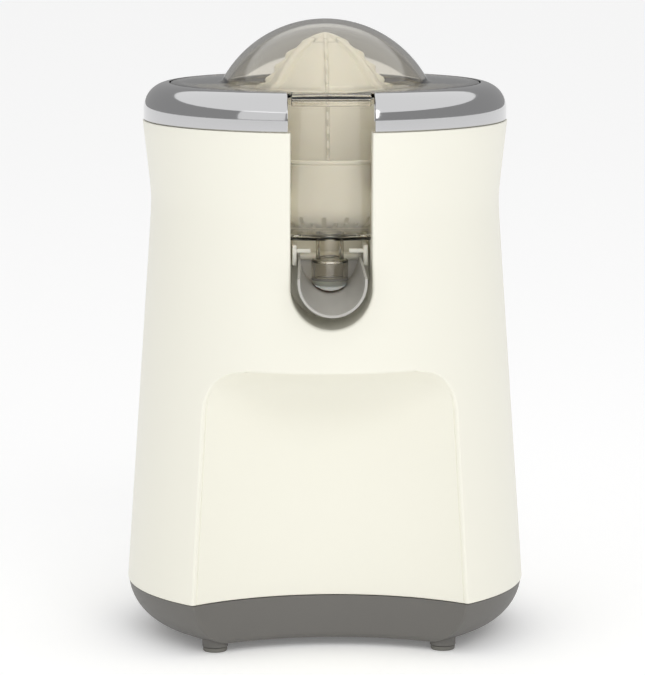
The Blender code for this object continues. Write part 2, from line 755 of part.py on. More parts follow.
def make_gearbox_case(finish):
    bottom = PLATE_TOP + GAP
    top = DECK_BOTTOM - GAP
    wall = 0.0025
    case = prism("gearbox_case", hull_outline(case_circles()), bottom, top, "Z", finish)
    post = rod_outline(0.0045, bottom, top)
    add(case, turned("case_screw_posts", post, None, SMALL, case_posts()))
    room = prism("case_room", hull_outline(case_circles(wall)), bottom - 0.01, top - wall)
    boss = rod_outline(0.0060, output_bottom() + GEAR_THICKNESS + 0.0030, top)
    cut(room, turned("axle_boss", boss, None, SMALL, (LAYSHAFT_AXIS,)))
    cut(case, room)
    cut(case, turned("case_shaft_hole", rod_outline(0.0080, top - 0.01, top + 0.01), None, MEDIUM))
    blind = rod_outline(MOTOR_SHAFT_RADIUS + GAP, bottom, axle_top() + GAP)
    cut(case, turned("axle_seat", blind, None, SMALL, (LAYSHAFT_AXIS,)))
    bore = rod_outline(BOLT_RADIUS, bottom - 0.01, top + 0.01)
    cut(case, turned("case_screw_bores", bore, None, TINY, case_posts()))
    return case


def make_gearbox_plate(finish):
    circles = list(case_circles()) + [(x, y, 0.0045) for x, y in case_posts()]
    circles += [(x, y, 0.0040) for x, y in bolt_places()]
    plate = prism("gearbox_plate", hull_outline(circles, 16), PLATE_BOTTOM, PLATE_TOP, "Z", finish)
    low = PLATE_BOTTOM - 0.01
    high = PLATE_TOP + 0.01
    lower_bush_radius = hub_radius() - 0.0015 + GAP + 0.0022
    cut(plate, turned("plate_bush_hole", rod_outline(lower_bush_radius + GAP, low, high), None, MEDIUM))
    axle_hole = rod_outline(MOTOR_SHAFT_RADIUS + GAP, low, high)
    cut(plate, turned("plate_axle_hole", axle_hole, None, SMALL, (LAYSHAFT_AXIS,)))
    bush_hole = rod_outline(motor_bush_radius() + GAP, low, high)
    cut(plate, turned("plate_motor_hole", bush_hole, None, SMALL, (MOTOR_AXIS,)))
    screw_hole = rod_outline(BOLT_RADIUS, low, high)
    cut(plate, turned("plate_screw_holes", screw_hole, None, TINY, case_posts()))
    bolt_hole = rod_outline(BOLT_RADIUS + GAP, low, high)
    cut(plate, turned("plate_bolt_holes", bolt_hole, None, TINY, bolt_places()))
    return plate


def make_gearbox_screws(finish):
    head = PLATE_BOTTOM - GAP
    outline = screw_outline(0.0028, 0.0014, head - 0.0018, head, DECK_TOP - 0.0012)
    return turned_each("gearbox_screw", outline, finish, TINY, case_posts())


# Motor


def motor_bush_radius():
    return MOTOR_SHAFT_RADIUS + GAP + 0.0020


def stator_top():
    return PLATE_BOTTOM - 0.0300


def stator_bottom():
    return stator_top() - STATOR_HEIGHT


def bracket_top():
    return stator_bottom() - 0.0130


def bolt_places():
    """The two long bolts stand in opposite corners of the stator."""
    reach = STATOR_HALF - 0.0045
    return [(MOTOR_AXIS[0] + side * reach, MOTOR_AXIS[1] + side * reach) for side in (-1, 1)]


def make_stator(finish):
    x, y = MOTOR_AXIS
    stator = prism(
        "stator_core", square_outline(STATOR_HALF, x, y), stator_bottom(), stator_top(), "Z", finish
    )
    low = stator_bottom() - 0.01
    high = stator_top() + 0.01
    bore = ROTOR_RADIUS + AIR_GAP
    cut(stator, turned("stator_bore", rod_outline(bore, low, high), None, MEDIUM, (MOTOR_AXIS,)))
    slots = bmesh.new()
    for side in (-1, 1):
        for end in (-1, 1):
            near, far = sorted((x + side * (bore + 0.0002), x + side * (bore + 0.0056)))
            front, back = sorted((y + end * 0.0118, y + end * 0.0178))
            add_block(slots, (near, front, low), (far, back, high))
    cut(stator, finish_mesh("stator_slots", slots))
    bolt_hole = rod_outline(BOLT_RADIUS + GAP, low, high)
    cut(stator, turned("stator_bolt_holes", bolt_hole, None, TINY, bolt_places()))
    return stator


def make_coil(name, side, finish):
    """A rectangular coil, wound round the pole on one side of the stator."""
    x, y = MOTOR_AXIS
    bore = ROTOR_RADIUS + AIR_GAP
    middle = (stator_top() + stator_bottom()) / 2
    outer_rise = STATOR_HEIGHT / 2 + 0.0060
    inner_rise = STATOR_HEIGHT / 2 + GAP
    near, far = sorted((x + side * (bore + 0.0005), x + side * (bore + 0.0053)))
    coil = block(
        name, (near, y - 0.0175, middle - outer_rise), (far, y + 0.0175, middle + outer_rise), finish
    )
    hole = block(f"{name}_hole", (near - 0.001, y - 0.0121, middle - inner_rise),
                 (far + 0.001, y + 0.0121, middle + inner_rise))
    cut(coil, hole)
    return coil


def make_motor_bracket(finish):
    x, y = MOTOR_AXIS
    top = bracket_top()
    bracket = prism("motor_bracket", square_outline(STATOR_HALF, x, y), top - 0.0020, top, "Z", finish)
    hole = rod_outline(motor_bush_radius() + GAP, top - 0.01, top + 0.01)
    cut(bracket, turned("bracket_hole", hole, None, SMALL, (MOTOR_AXIS,)))
    bolt_hole = rod_outline(BOLT_RADIUS + GAP, top - 0.01, top + 0.01)
    cut(bracket, turned("bracket_bolt_holes", bolt_hole, None, TINY, bolt_places()))
    return bracket


def make_motor_spacers(finish):
    lower = tube_outline(BOLT_RADIUS + GAP, 0.0036, bracket_top() + GAP, stator_bottom() - GAP)
    upper = tube_outline(BOLT_RADIUS + GAP, 0.0036, stator_top() + GAP, PLATE_BOTTOM - GAP)
    turned_each("lower_motor_spacer", lower, finish, TINY, bolt_places())
    turned_each("upper_motor_spacer", upper, finish, TINY, bolt_places())


def make_motor_bolts(finish):
    head = bracket_top() - 0.0020 - GAP
    outline = screw_outline(0.0032, BOLT_RADIUS, head - 0.0025, head, PLATE_TOP - GAP)
    return turned_each("motor_bolt", outline, finish, TINY, bolt_places())


def make_motor_bushes(finish):
    bore = MOTOR_SHAFT_RADIUS + GAP
    upper = tube_outline(bore, motor_bush_radius(), PLATE_BOTTOM - 0.0030, PLATE_TOP)
    lower = tube_outline(bore, motor_bush_radius(), bracket_top() - 0.0030, bracket_top() + 0.0020)
    return [
        turned("upper_motor_bush", upper, finish, SMALL, (MOTOR_AXIS,)),
        turned("lower_motor_bush", lower, finish, SMALL, (MOTOR_AXIS,)),
    ]


def make_motor_shaft(finish):
    top = PLATE_TOP + 0.0105
    outline = rod_outline(MOTOR_SHAFT_RADIUS, bracket_top() - 0.0060, top)
    return turned("motor_shaft", outline, finish, SMALL, (MOTOR_AXIS,))


def make_rotor(finish):
    bore = MOTOR_SHAFT_RADIUS + GAP
    outline = tube_outline(bore, ROTOR_RADIUS, stator_bottom() - 0.0020, stator_top() + 0.0020)
    return turned("motor_rotor", outline, finish, MEDIUM, (MOTOR_AXIS,))


def make_motor_pinion(finish):
    bottom = PLATE_TOP + 0.0025
    phase = motor_angle() + math.pi + math.pi / PINION_TEETH
    teeth = gear_outline(PINION_TEETH, MOTOR_AXIS, phase)
    pinion = prism("motor_pinion", teeth, bottom, bottom + 0.0075, "Z", finish)
    bore = rod_outline(MOTOR_SHAFT_RADIUS + GAP, bottom - 0.01, bottom + 0.02)
    cut(pinion, turned("pinion_bore", bore, None, SMALL, (MOTOR_AXIS,)))
    return pinion


# Switch under the shaft


def switch_top():
    return SHAFT_BOTTOM - 0.0060


def make_switch(finish):
    top = switch_top()
    body = block("switch_body", (-0.0100, -0.0050, top - 0.0180), (0.0100, 0.0050, top), finish)
    cut(body, turned("button_well", rod_outline(0.0032, top - 0.0062, top + 0.01), None, SMALL))
    return body


def make_switch_button(finish):
    top = switch_top()
    outline = rod_outline(0.0028, top - 0.0025, SHAFT_BOTTOM - GAP)
    return turned("switch_button", outline, finish, SMALL)


def make_switch_bracket(finish):
    """A U of strip steel that hangs the switch under the gearbox plate."""
    top = switch_top()
    outer = 0.0118
    inner = 0.0103
    floor_top = top - 0.0180 - GAP
    outline = [(-outer, PLATE_BOTTOM - GAP), (-outer, floor_top - 0.0015), (outer, floor_top - 0.0015),
               (outer, PLATE_BOTTOM - GAP), (inner, PLATE_BOTTOM - GAP), (inner, floor_top),
               (-inner, floor_top), (-inner, PLATE_BOTTOM - GAP)]
    return prism("switch_bracket", outline, -0.0045, 0.0045, "Y", finish)


# Bowl with its outlet


def make_bowl(finish):
    floor_top = BOWL_BOTTOM + BOWL_FLOOR
    outer_bend = arc((BOWL_RADIUS - BOWL_BEND, BOWL_BOTTOM + BOWL_BEND), BOWL_BEND, -90, 0, 3)
    inner_bend = arc((BOWL_RADIUS - BOWL_BEND, BOWL_BOTTOM + BOWL_BEND), BOWL_BEND - CLEAR_WALL, 0, -85, 3)
    outline = [(CHIMNEY_BORE, BOWL_BOTTOM)] + outer_bend + [(BOWL_RADIUS, BOWL_TOP)]
    outline += [(BOWL_RADIUS - CLEAR_WALL, BOWL_TOP)] + inner_bend
    outline += [(CHIMNEY_RADIUS, floor_top), (CHIMNEY_RADIUS, CHIMNEY_TOP), (CHIMNEY_BORE, CHIMNEY_TOP)]
    bowl = turned("juice_bowl", outline, finish)
    spot = ((0.0, -OUTLET_PLACE),)
    pipe_bottom = OUTLET_BOTTOM + GASKET_HEIGHT + GAP
    skirt_top = OUTLET_BOTTOM + SKIRT_HEIGHT
    pipe = [(0.0, floor_top - 0.0005), (0.0, pipe_bottom), (OUTLET_RADIUS, pipe_bottom),
            (OUTLET_RADIUS, skirt_top), (NECK_RADIUS, skirt_top), (NECK_RADIUS, floor_top - 0.0005)]
    add(bowl, turned("outlet_pipe", pipe, None, 24, spot))
    skirt_bore = OUTLET_RADIUS - OUTLET_WALL
    neck_bore = NECK_RADIUS - OUTLET_WALL
    bore = [(0.0, floor_top + 0.01), (0.0, pipe_bottom - 0.01), (skirt_bore, pipe_bottom - 0.01),
            (skirt_bore, skirt_top - OUTLET_WALL), (neck_bore, skirt_top), (neck_bore, floor_top + 0.01)]
    cut(bowl, turned("outlet_bore", bore, None, 24, spot))
    tab_front = -(RING_BORE + TAB_REACH - 0.0020)
    tab = block(
        "bowl_tab", (-TAB_HALF, tab_front, BOWL_TOP - 0.0026), (TAB_HALF, 0.0010 - BOWL_RADIUS, BOWL_TOP)
    )
    inside = turned("bowl_tab_limit", rod_outline(BOWL_RADIUS - 0.0010, 0.0, TOP), None, ROUND)
    cut(tab, inside)
    add(bowl, tab)
    return bowl


def make_outlet_gasket(finish):
    outline = tube_outline(
        OUTLET_RADIUS - OUTLET_WALL, OUTLET_RADIUS, OUTLET_BOTTOM, OUTLET_BOTTOM + GASKET_HEIGHT
    )
    return turned("outlet_gasket", outline, finish, 24, ((0.0, -OUTLET_PLACE),))


def make_strainer(finish):
    """A slotted basket on the bowl's floor, with a chimney of its own round the bowl's."""
    side = STRAINER_RIM_RADIUS - STRAINER_TAPER
    floor = STRAINER_BOTTOM + 0.0017
    bend = (side - STRAINER_BEND, floor + STRAINER_BEND)
    chimney = CHIMNEY_RADIUS + GAP
    chimney_top = CHIMNEY_TOP - 0.0010
    stand = chimney + STRAINER_WALL + 0.0035
    outline = [(chimney, STRAINER_BOTTOM), (stand, STRAINER_BOTTOM), (stand, floor)]
    outline += arc(bend, STRAINER_BEND, -90, 0, 3)
    outline += [(STRAINER_RIM_RADIUS, STRAINER_TOP), (STRAINER_RIM_RADIUS - STRAINER_WALL, STRAINER_TOP)]
    outline += arc(bend, STRAINER_BEND - STRAINER_WALL, 0, -90, 3)
    outline += [(chimney + STRAINER_WALL, floor + STRAINER_WALL), (chimney + STRAINER_WALL, chimney_top),
                (chimney, chimney_top)]
    strainer = turned("strainer", outline, finish)
    mesh = bmesh.new()
    for index in range(SLOT_COUNT):
        height = floor + (0.0060 if index % 2 else 0.0035)
        inner = side - 0.0190
        low = (inner, -SLOT_WIDTH / 2, floor - 0.001)
        high = (side + 0.004, SLOT_WIDTH / 2, height)
        add_block(mesh, low, high, (index + 0.5) * 360 / SLOT_COUNT)
    cut(strainer, finish_mesh("strainer_slots", mesh))
    return strainer


# Cone


def cone_outline(share):
    """Radius over the ribs between the cone's base (0) and its tip (1)."""
    return CONE_RADIUS * (1.0 - share**2) ** 0.60


def cone_skin(share):
    """Radius between the ribs, which die out towards the tip."""
    return cone_outline(share) - min(RIB_RISE, 0.35 * cone_outline(share))


def rib_height(angle):
    """1 on a rib's crest and 0 between ribs, by angle in degrees from the front."""
    nearest = min(abs((angle - rib + 180.0) % 360.0 - 180.0) for rib in CONE_RIBS)
    return max(0.0, 1.0 - nearest / 7.0)


def make_cone(finish):
    """Ribbed ogive: every ring of points swells at the ribs."""
    mesh = bmesh.new()
    count = 48
    levels = 10
    rings = []
    for level in range(levels):
        share = math.sin(math.pi / 2 * level / levels)
        height = CONE_BOTTOM + share * CONE_HEIGHT
        made = bmesh.ops.create_circle(mesh, cap_ends=False, radius=1.0, segments=count)
        for vert in made["verts"]:
            from_front = math.degrees(math.atan2(vert.co.x, -vert.co.y))
            rib = rib_height(from_front)
            radius = cone_skin(share) + (cone_outline(share) - cone_skin(share)) * rib
            vert.co = (vert.co.x * radius, vert.co.y * radius, height)
        rings.append(list({edge for vert in made["verts"] for edge in vert.link_edges}))
    for lower, upper in zip(rings, rings[1:]):
        bmesh.ops.bridge_loops(mesh, edges=lower + upper)
    bmesh.ops.holes_fill(mesh, edges=[edge for edge in mesh.edges if edge.is_boundary], sides=0)
    cone = finish_mesh("reamer_cone", mesh, finish)
    base_bore = cone_skin(0.0) - CONE_WALL
    hollow = [(0.0, CONE_TOP - 0.012), (0.0, CONE_BOTTOM - 0.001), (base_bore, CONE_BOTTOM - 0.001)]
    for level in range(1, 5):
        share = level / 6
        hollow.append((cone_skin(share) - CONE_WALL, CONE_BOTTOM + share * CONE_HEIGHT))
    room = turned("cone_room", hollow, steps=MEDIUM)
    boss_radius = SHAFT_RADIUS + 0.0045
    cut(room, turned("cone_boss", rod_outline(boss_radius, CHIMNEY_TOP + 0.0035, CONE_TOP), None, MEDIUM))
    cut(cone, room)
    seat = rod_outline(socket_radius() + GAP, CONE_BOTTOM - 0.01, socket_top() + GAP)
    cut(cone, turned("socket_seat", seat, None, SMALL))
    return cone


def socket_radius():
    return SHAFT_RADIUS + 0.0018


def socket_top():
    return SHAFT_TOP + 0.0025


def make_cone_socket(finish):
    bottom = CHIMNEY_TOP + 0.0045
    socket = turned("cone_socket", rod_outline(socket_radius(), bottom, socket_top()), finish, SMALL)
    bore = prism("socket_bore", square_outline(SQUARE_HALF + GAP), bottom - 0.01, SHAFT_TOP + GAP)
    cut(socket, bore)
    return socket


# Lid


def make_lid(finish):
    """A flat rim with a dome, a skirt that centres it in the bowl, and a lifting tab."""
    rise = TOP - RING_TOP
    dome = (DOME_BASE_RADIUS**2 + rise**2) / (2 * rise)
    centre = TOP - dome
    start = math.degrees(math.asin((RING_TOP - centre) / dome))
    inner = dome - DOME_WALL
    inner_start = math.degrees(math.asin((LID_BOTTOM - centre) / inner))
    skirt = BOWL_RADIUS - CLEAR_WALL - 0.0005
    outline = arc((0.0, centre), dome, 90, start, 7)
    outline += [(RING_BORE - 0.0005, RING_TOP), (RING_BORE - 0.0005, LID_BOTTOM), (skirt, LID_BOTTOM),
                (skirt, LID_BOTTOM - 0.0030), (skirt - 0.0016, LID_BOTTOM - 0.0030),
                (skirt - 0.0016, LID_BOTTOM)]
    outline += arc((0.0, centre), inner, inner_start, 90, 5)
    lid = turned("lid", outline, finish)
    tab = block("lid_tab", (-TAB_HALF, -(RING_BORE + TAB_REACH - 0.0008), LID_BOTTOM),
                (TAB_HALF, 0.0040 - RING_BORE, RING_TOP))
    add(lid, tab)
    return lid


# Yoke and drip lip


def make_yoke(finish):
    """Two ears on a hinge bar that runs behind the outlet, with a clip stub on each ear."""
    low = HINGE_HEIGHT - 0.0028
    high = HINGE_HEIGHT + 0.0070
    back = -(HINGE_PLACE - 0.0030)
    front = -(OUTLET_PLACE + 0.0030)
    inner = YOKE_HALF - YOKE_PLATE
    yoke = along_x("spout_yoke", HINGE_BAR_RADIUS, inner + 0.0005, finish)
    for side, hand in ((-1, "left"), (1, "right")):
        near, far = sorted((side * inner, side * YOKE_HALF))
        add(yoke, block(f"ear_{hand}", (near, front, low), (far, back, high)))
        near, far = sorted((side * STUB_REACH, side * (inner + 0.0005)))
        stub_low = HINGE_HEIGHT + 0.0030
        add(yoke, block(f"stub_{hand}", (near, -OUTLET_PLACE - 0.0010, stub_low),
                        (far, -OUTLET_PLACE + 0.0010, stub_low + 0.0020)))
    return yoke


def along_x(name, radius, half, finish=None, steps=12):
    """A rod on the hinge's axis."""
    outline = arc((-HINGE_PLACE, HINGE_HEIGHT), radius, 0, 360 - 360 / steps, steps - 1)
    return prism(name, outline, -half, half, "X", finish)


def lip_section(half, bottom, top):
    """The trough's rounded U, from one top corner to the other, as (x, z)."""
    return [(half, top)] + arc((0.0, bottom + half), half, 0, -180, 12) + [(-half, top)]


def lip_stations(grow):
    """Where the trough's U stands from back to front: y, half width, bottom, top."""
    floor = OUTLET_BOTTOM - LIP_FLOOR_DROP
    tip = FOOT_RADIUS - 0.0002 + grow
    drop = (tip - LIP_CREST) * math.tan(math.radians(LIP_SLOPE))
    inside = LIP_WALL if grow else 0.0
    raised = 0.01 if grow else 0.0
    rim = floor + LIP_HALF
    return (
        (-(HINGE_PLACE - 0.0020 + inside), LIP_HALF - inside, floor - LIP_WALL + inside, rim + raised),
        (-LIP_CREST, LIP_HALF - inside, floor - LIP_WALL + inside, rim + raised),
        (-tip, LIP_TIP_HALF - inside, floor - drop - LIP_WALL + inside, rim - 0.0060 + raised),
    )


def loft(name, stations, finish=None):
    mesh = bmesh.new()
    loops = []
    for y, half, bottom, top in stations:
        points = lip_section(half, bottom, max(top, bottom + half))
        verts = [mesh.verts.new((x, y, z)) for x, z in points]
        loops.append([mesh.edges.new((a, b)) for a, b in zip(verts, verts[1:] + verts[:1])])
    for back, front in zip(loops, loops[1:]):
        bmesh.ops.bridge_loops(mesh, edges=back + front)
    bmesh.ops.holes_fill(mesh, edges=[edge for edge in mesh.edges if edge.is_boundary], sides=0)
    return finish_mesh(name, mesh, finish)


def make_lip(finish):
    """A U trough, level under the outlet and sloping down in front of its crest."""
    lip = loft("spout_lip", lip_stations(0.0), finish)
    cut(lip, loft("lip_trough", lip_stations(0.0040)))
    ear_low = HINGE_HEIGHT - 0.0048
    ears = bmesh.new()
    for side in (-1, 1):
        near, far = sorted((side * (LIP_HALF - LIP_WALL), side * LIP_HALF))
        ear_front = -(HINGE_PLACE + 0.0050)
        ear_back = -(HINGE_PLACE - 0.0020)
        add_block(ears, (near, ear_front, ear_low), (far, ear_back, HINGE_HEIGHT + 0.0030))
    add(lip, finish_mesh("lip_ears", ears))
    cut(lip, along_x("lip_bar_holes", HINGE_BAR_RADIUS + GAP, LIP_HALF + 0.01))
    return lip


def make_spout_seal(finish):
    """A wedge whose top lies flat on the outlet when the lip is lifted."""
    floor = OUTLET_BOTTOM - LIP_FLOOR_DROP + GAP
    drop = HINGE_HEIGHT - OUTLET_BOTTOM + GAP
    lift = math.radians(LIP_LIFT)
    disc = rod_outline(OUTLET_RADIUS + 0.0004, floor - 0.001, HINGE_HEIGHT)
    seal = turned("spout_seal", disc, finish, 24, ((0.0, -OUTLET_PLACE),))
    room = lip_section(LIP_HALF - LIP_WALL - GAP, floor, HINGE_HEIGHT + 0.01)
    combine(seal, prism("seal_room", room, -0.10, 0.0, "Y"), "INTERSECT")
    points = []
    for reach in (-0.010, 0.040):
        points.append((-HINGE_PLACE - reach, HINGE_HEIGHT - drop / math.cos(lift) - reach * math.tan(lift)))
    points += [(-HINGE_PLACE - 0.040, HINGE_HEIGHT + 0.01), (-HINGE_PLACE + 0.010, HINGE_HEIGHT + 0.01)]
    cut(seal, prism("seal_slope", points, -0.02, 0.02, "X"))
    return seal


def build():
    clear_scene()
    ivory = material("ivory_abs", (0.93, 0.92, 0.83), 0.35)
    chrome = material("chromed_abs", (0.70, 0.70, 0.72), 0.08, 1.0)
    grey = material("dark_grey_abs", (0.16, 0.155, 0.145), 0.45)
    smoke = material("smoke_san", (0.55, 0.53, 0.48), 0.05, 0.0, 0.9)
    white = material("ivory_polypropylene", (0.95, 0.94, 0.88), 0.40)
    silver = material("silver_grey_abs", (0.38, 0.37, 0.35), 0.35)
    rubber = material("rubber", (0.04, 0.04, 0.04), 0.80)
    pale_rubber = material("pale_silicone", (0.60, 0.59, 0.56), 0.60)
    steel = material("steel", (0.55, 0.55, 0.55), 0.30, 1.0)
    bronze = material("sintered_bronze", (0.55, 0.38, 0.20), 0.45, 1.0)
    acetal = material("acetal", (0.80, 0.78, 0.72), 0.50)
    copper = material("enamelled_copper", (0.60, 0.25, 0.10), 0.40, 1.0)
    lamination = material("steel_laminations", (0.28, 0.28, 0.30), 0.50, 1.0)

    make_housing(ivory)
    make_chrome_ring(chrome)
    make_base(grey)
    make_feet(rubber)
    make_base_screws(steel)
    make_cord_gland(rubber)
    make_deck(ivory)
    make_deck_screws(steel)
    make_upper_bush(bronze)
    make_shaft_seal(rubber)
    make_lower_bush(bronze)
    make_intermediate_axle(steel)
    make_gearbox_case(acetal)
    make_gearbox_plate(steel)
    make_gearbox_screws(steel)
    make_stator(lamination)
    make_coil("coil_left", -1, copper)
    make_coil("coil_right", 1, copper)
    make_motor_bracket(steel)
    make_motor_spacers(steel)
    make_motor_bolts(steel)
    make_motor_bushes(bronze)
    make_switch(grey)
    make_switch_bracket(steel)

    drive = empty("drive_axis", (0.0, 0.0, output_bottom()))
    hang(drive, make_output_gear(acetal), make_return_spring(steel))
    press = empty("press_axis", (0.0, 0.0, SHAFT_BOTTOM), drive)
    hang(press, make_drive_shaft(steel), make_shaft_collar(steel))
    cone_axis = empty("cone_axis", (0.0, 0.0, CONE_BOTTOM), press)
    hang(cone_axis, make_cone(white), make_cone_socket(steel))
    hang(empty("layshaft_axis", (*LAYSHAFT_AXIS, PLATE_TOP)), make_intermediate_gear(acetal))
    rotor = empty("motor_axis", (*MOTOR_AXIS, stator_bottom()))
    hang(rotor, make_rotor(lamination), make_motor_shaft(steel), make_motor_pinion(acetal))
    hang(empty("button_axis", (0.0, 0.0, switch_top())), make_switch_button(white))

    bowl = empty("bowl_axis", (0.0, 0.0, BOWL_BOTTOM))
    hang(bowl, make_bowl(smoke), make_strainer(white), make_outlet_gasket(rubber))
    hang(bowl, make_yoke(white))
    hang(empty("lid_axis", (0.0, 0.0, LID_BOTTOM), bowl), make_lid(smoke))
    tilt = empty("lip_axis", (0.0, -HINGE_PLACE, HINGE_HEIGHT), bowl)
    hang(tilt, make_lip(silver), make_spout_seal(pale_rubber))


build()
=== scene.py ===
"""Looks of a citrus press juicer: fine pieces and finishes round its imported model."""

import json
import math

import bmesh
import bpy
from mathutils import Matrix, Vector


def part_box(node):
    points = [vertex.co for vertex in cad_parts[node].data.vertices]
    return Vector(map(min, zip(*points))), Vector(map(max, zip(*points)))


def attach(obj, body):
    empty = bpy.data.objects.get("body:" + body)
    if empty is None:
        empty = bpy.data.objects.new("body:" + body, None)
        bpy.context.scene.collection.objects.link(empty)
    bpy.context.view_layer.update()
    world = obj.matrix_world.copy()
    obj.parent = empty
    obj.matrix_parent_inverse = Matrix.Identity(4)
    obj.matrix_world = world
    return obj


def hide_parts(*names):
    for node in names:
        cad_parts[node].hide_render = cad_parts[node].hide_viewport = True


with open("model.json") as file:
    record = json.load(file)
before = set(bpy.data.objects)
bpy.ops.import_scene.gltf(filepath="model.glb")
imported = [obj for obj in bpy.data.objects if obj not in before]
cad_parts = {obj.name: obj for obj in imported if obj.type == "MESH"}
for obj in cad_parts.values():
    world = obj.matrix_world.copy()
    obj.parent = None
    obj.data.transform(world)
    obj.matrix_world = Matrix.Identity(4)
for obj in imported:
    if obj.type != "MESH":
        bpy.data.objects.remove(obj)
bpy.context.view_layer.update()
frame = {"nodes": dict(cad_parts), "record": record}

bl_info = {
    "name": "Citrus press",
    "version": (1, 0, 0),
    "blender": (4, 5, 0),
    "location": "3D View > Sidebar > Press",
    "description": "Fine pieces, finishes and a plain stage for a citrus press juicer",
    "category": "Object",
}


def linear(code):
    """An sRGB hex colour as linear red, green, blue and alpha."""
    channels = [int(code[at:at + 2], 16) / 255 for at in (1, 3, 5)]
    return [c / 12.92 if c <= 0.04045 else ((c + 0.055) / 1.055) ** 2.4 for c in channels] + [1.0]


def colour(name, code, words):
    return bpy.props.FloatVectorProperty(
        name=name, description=words, subtype="COLOR", size=4, min=0.0, max=1.0, default=linear(code)
    )


def length(name, metres, words):
    return bpy.props.FloatProperty(name=name, description=words, unit="LENGTH", precision=4, default=metres)


housing_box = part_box("housing")
ring_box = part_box("chrome_ring")
base_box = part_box("base")
lid_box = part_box("lid")
bowl_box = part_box("juice_bowl")
strainer_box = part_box("strainer")
cone_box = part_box("reamer_cone")


class PressColours(bpy.types.PropertyGroup):
    ivory: colour("Ivory", "#f5f3e6", "Colour of the moulded body")
    grey: colour("Base grey", "#6f6d69", "Colour of the base")
    chrome: colour("Chrome", "#cfcfd0", "Colour of the plated ring")
    smoke: colour("Smoke", "#f0ede6", "Tint of the clear lid and bowl")
    natural: colour("Natural white", "#f4f2e8", "Colour of the strainer, cone and hinge bar")
    silver: colour("Silver grey", "#bab8b2", "Colour of the drip lip")
    rubber: colour("Rubber", "#77756f", "Colour of the feet and seals")


class PressSizes(bpy.types.PropertyGroup):
    foot: length("Body radius at the base", housing_box[1].x, "Radius of the body where it meets the base")
    waist: length("Waist radius", 0.0844, "Radius of the body at its narrowest")
    waist_height: length("Waist height", 0.2140, "Height of the body's narrowest part")
    mouth: length("Mouth radius", 0.0886, "Radius of the body at its top edge")
    wall: length("Wall", 0.0025, "Wall of the body and base")
    scoop: length("Scoop radius", 0.1016, "Radius of the hollow in the front")
    scoop_place: length("Scoop centre", 0.1499, "How far in front of the axis the hollow is centred")
    scoop_top: length("Scoop top", 0.1390, "Height of the hollow's top edge")
    scoop_fillet: length("Scoop fillet", 0.0210, "Radius of the hollow's round shoulder")
    ridge: length("Ridge rounding", 0.0012, "Rounding of the edge round the hollow")
    window: length("Window half width", 0.0190, "Half the width of the window")
    window_bottom: length("Window bottom", 0.1600, "Height of the window's lowest point")
    niche: length("Niche back", 0.0460, "How far in front of the axis the niche's back stands")
    ring_bend: length("Ring bend", 0.0125, "Radius of the ring's round shoulder")
    dome_base: length("Dome radius", 0.0505, "Radius of the dome where it meets the lid's plate")
    clear_wall: length("Clear wall", 0.0022, "Wall of the bowl and lid")
    outlet: length("Outlet place", 0.0630, "How far in front of the axis the outlet stands")
    slots: bpy.props.IntProperty(name="Slots", description="Slots round the strainer", min=24, max=96, default=72)


class PressStage(bpy.types.PropertyGroup):
    distance: length("Camera distance", 1.641, "Distance of the camera from the object's axis")
    height: length("Camera height", 0.3823, "Height of the camera above the floor")
    azimuth: bpy.props.FloatProperty(
        name="Azimuth", description="Turn of the camera round the object", subtype="ANGLE", default=math.radians(-2.08)
    )
    pitch: bpy.props.FloatProperty(
        name="Pitch", description="How far the camera looks down", subtype="ANGLE", default=math.radians(8.27)
    )
    lens: bpy.props.FloatProperty(name="Lens", description="Focal length in millimetres", default=180.0)
    floor: colour("Floor", "#fafafa", "Colour of the floor")


# Helpers


def add_node(tree, kind, settings=None, inputs=None):
    """Adds a node, sets its properties, and gives each input a value or a link from another node's output."""
    node = tree.nodes.new(kind)
    for name, value in (settings or {}).items():
        setattr(node, name, value)
    for name, value in (inputs or {}).items():
        if isinstance(value, bpy.types.NodeSocket):
            tree.links.new(value, node.inputs[name])
        else:
            node.inputs[name].default_value = value
    return node


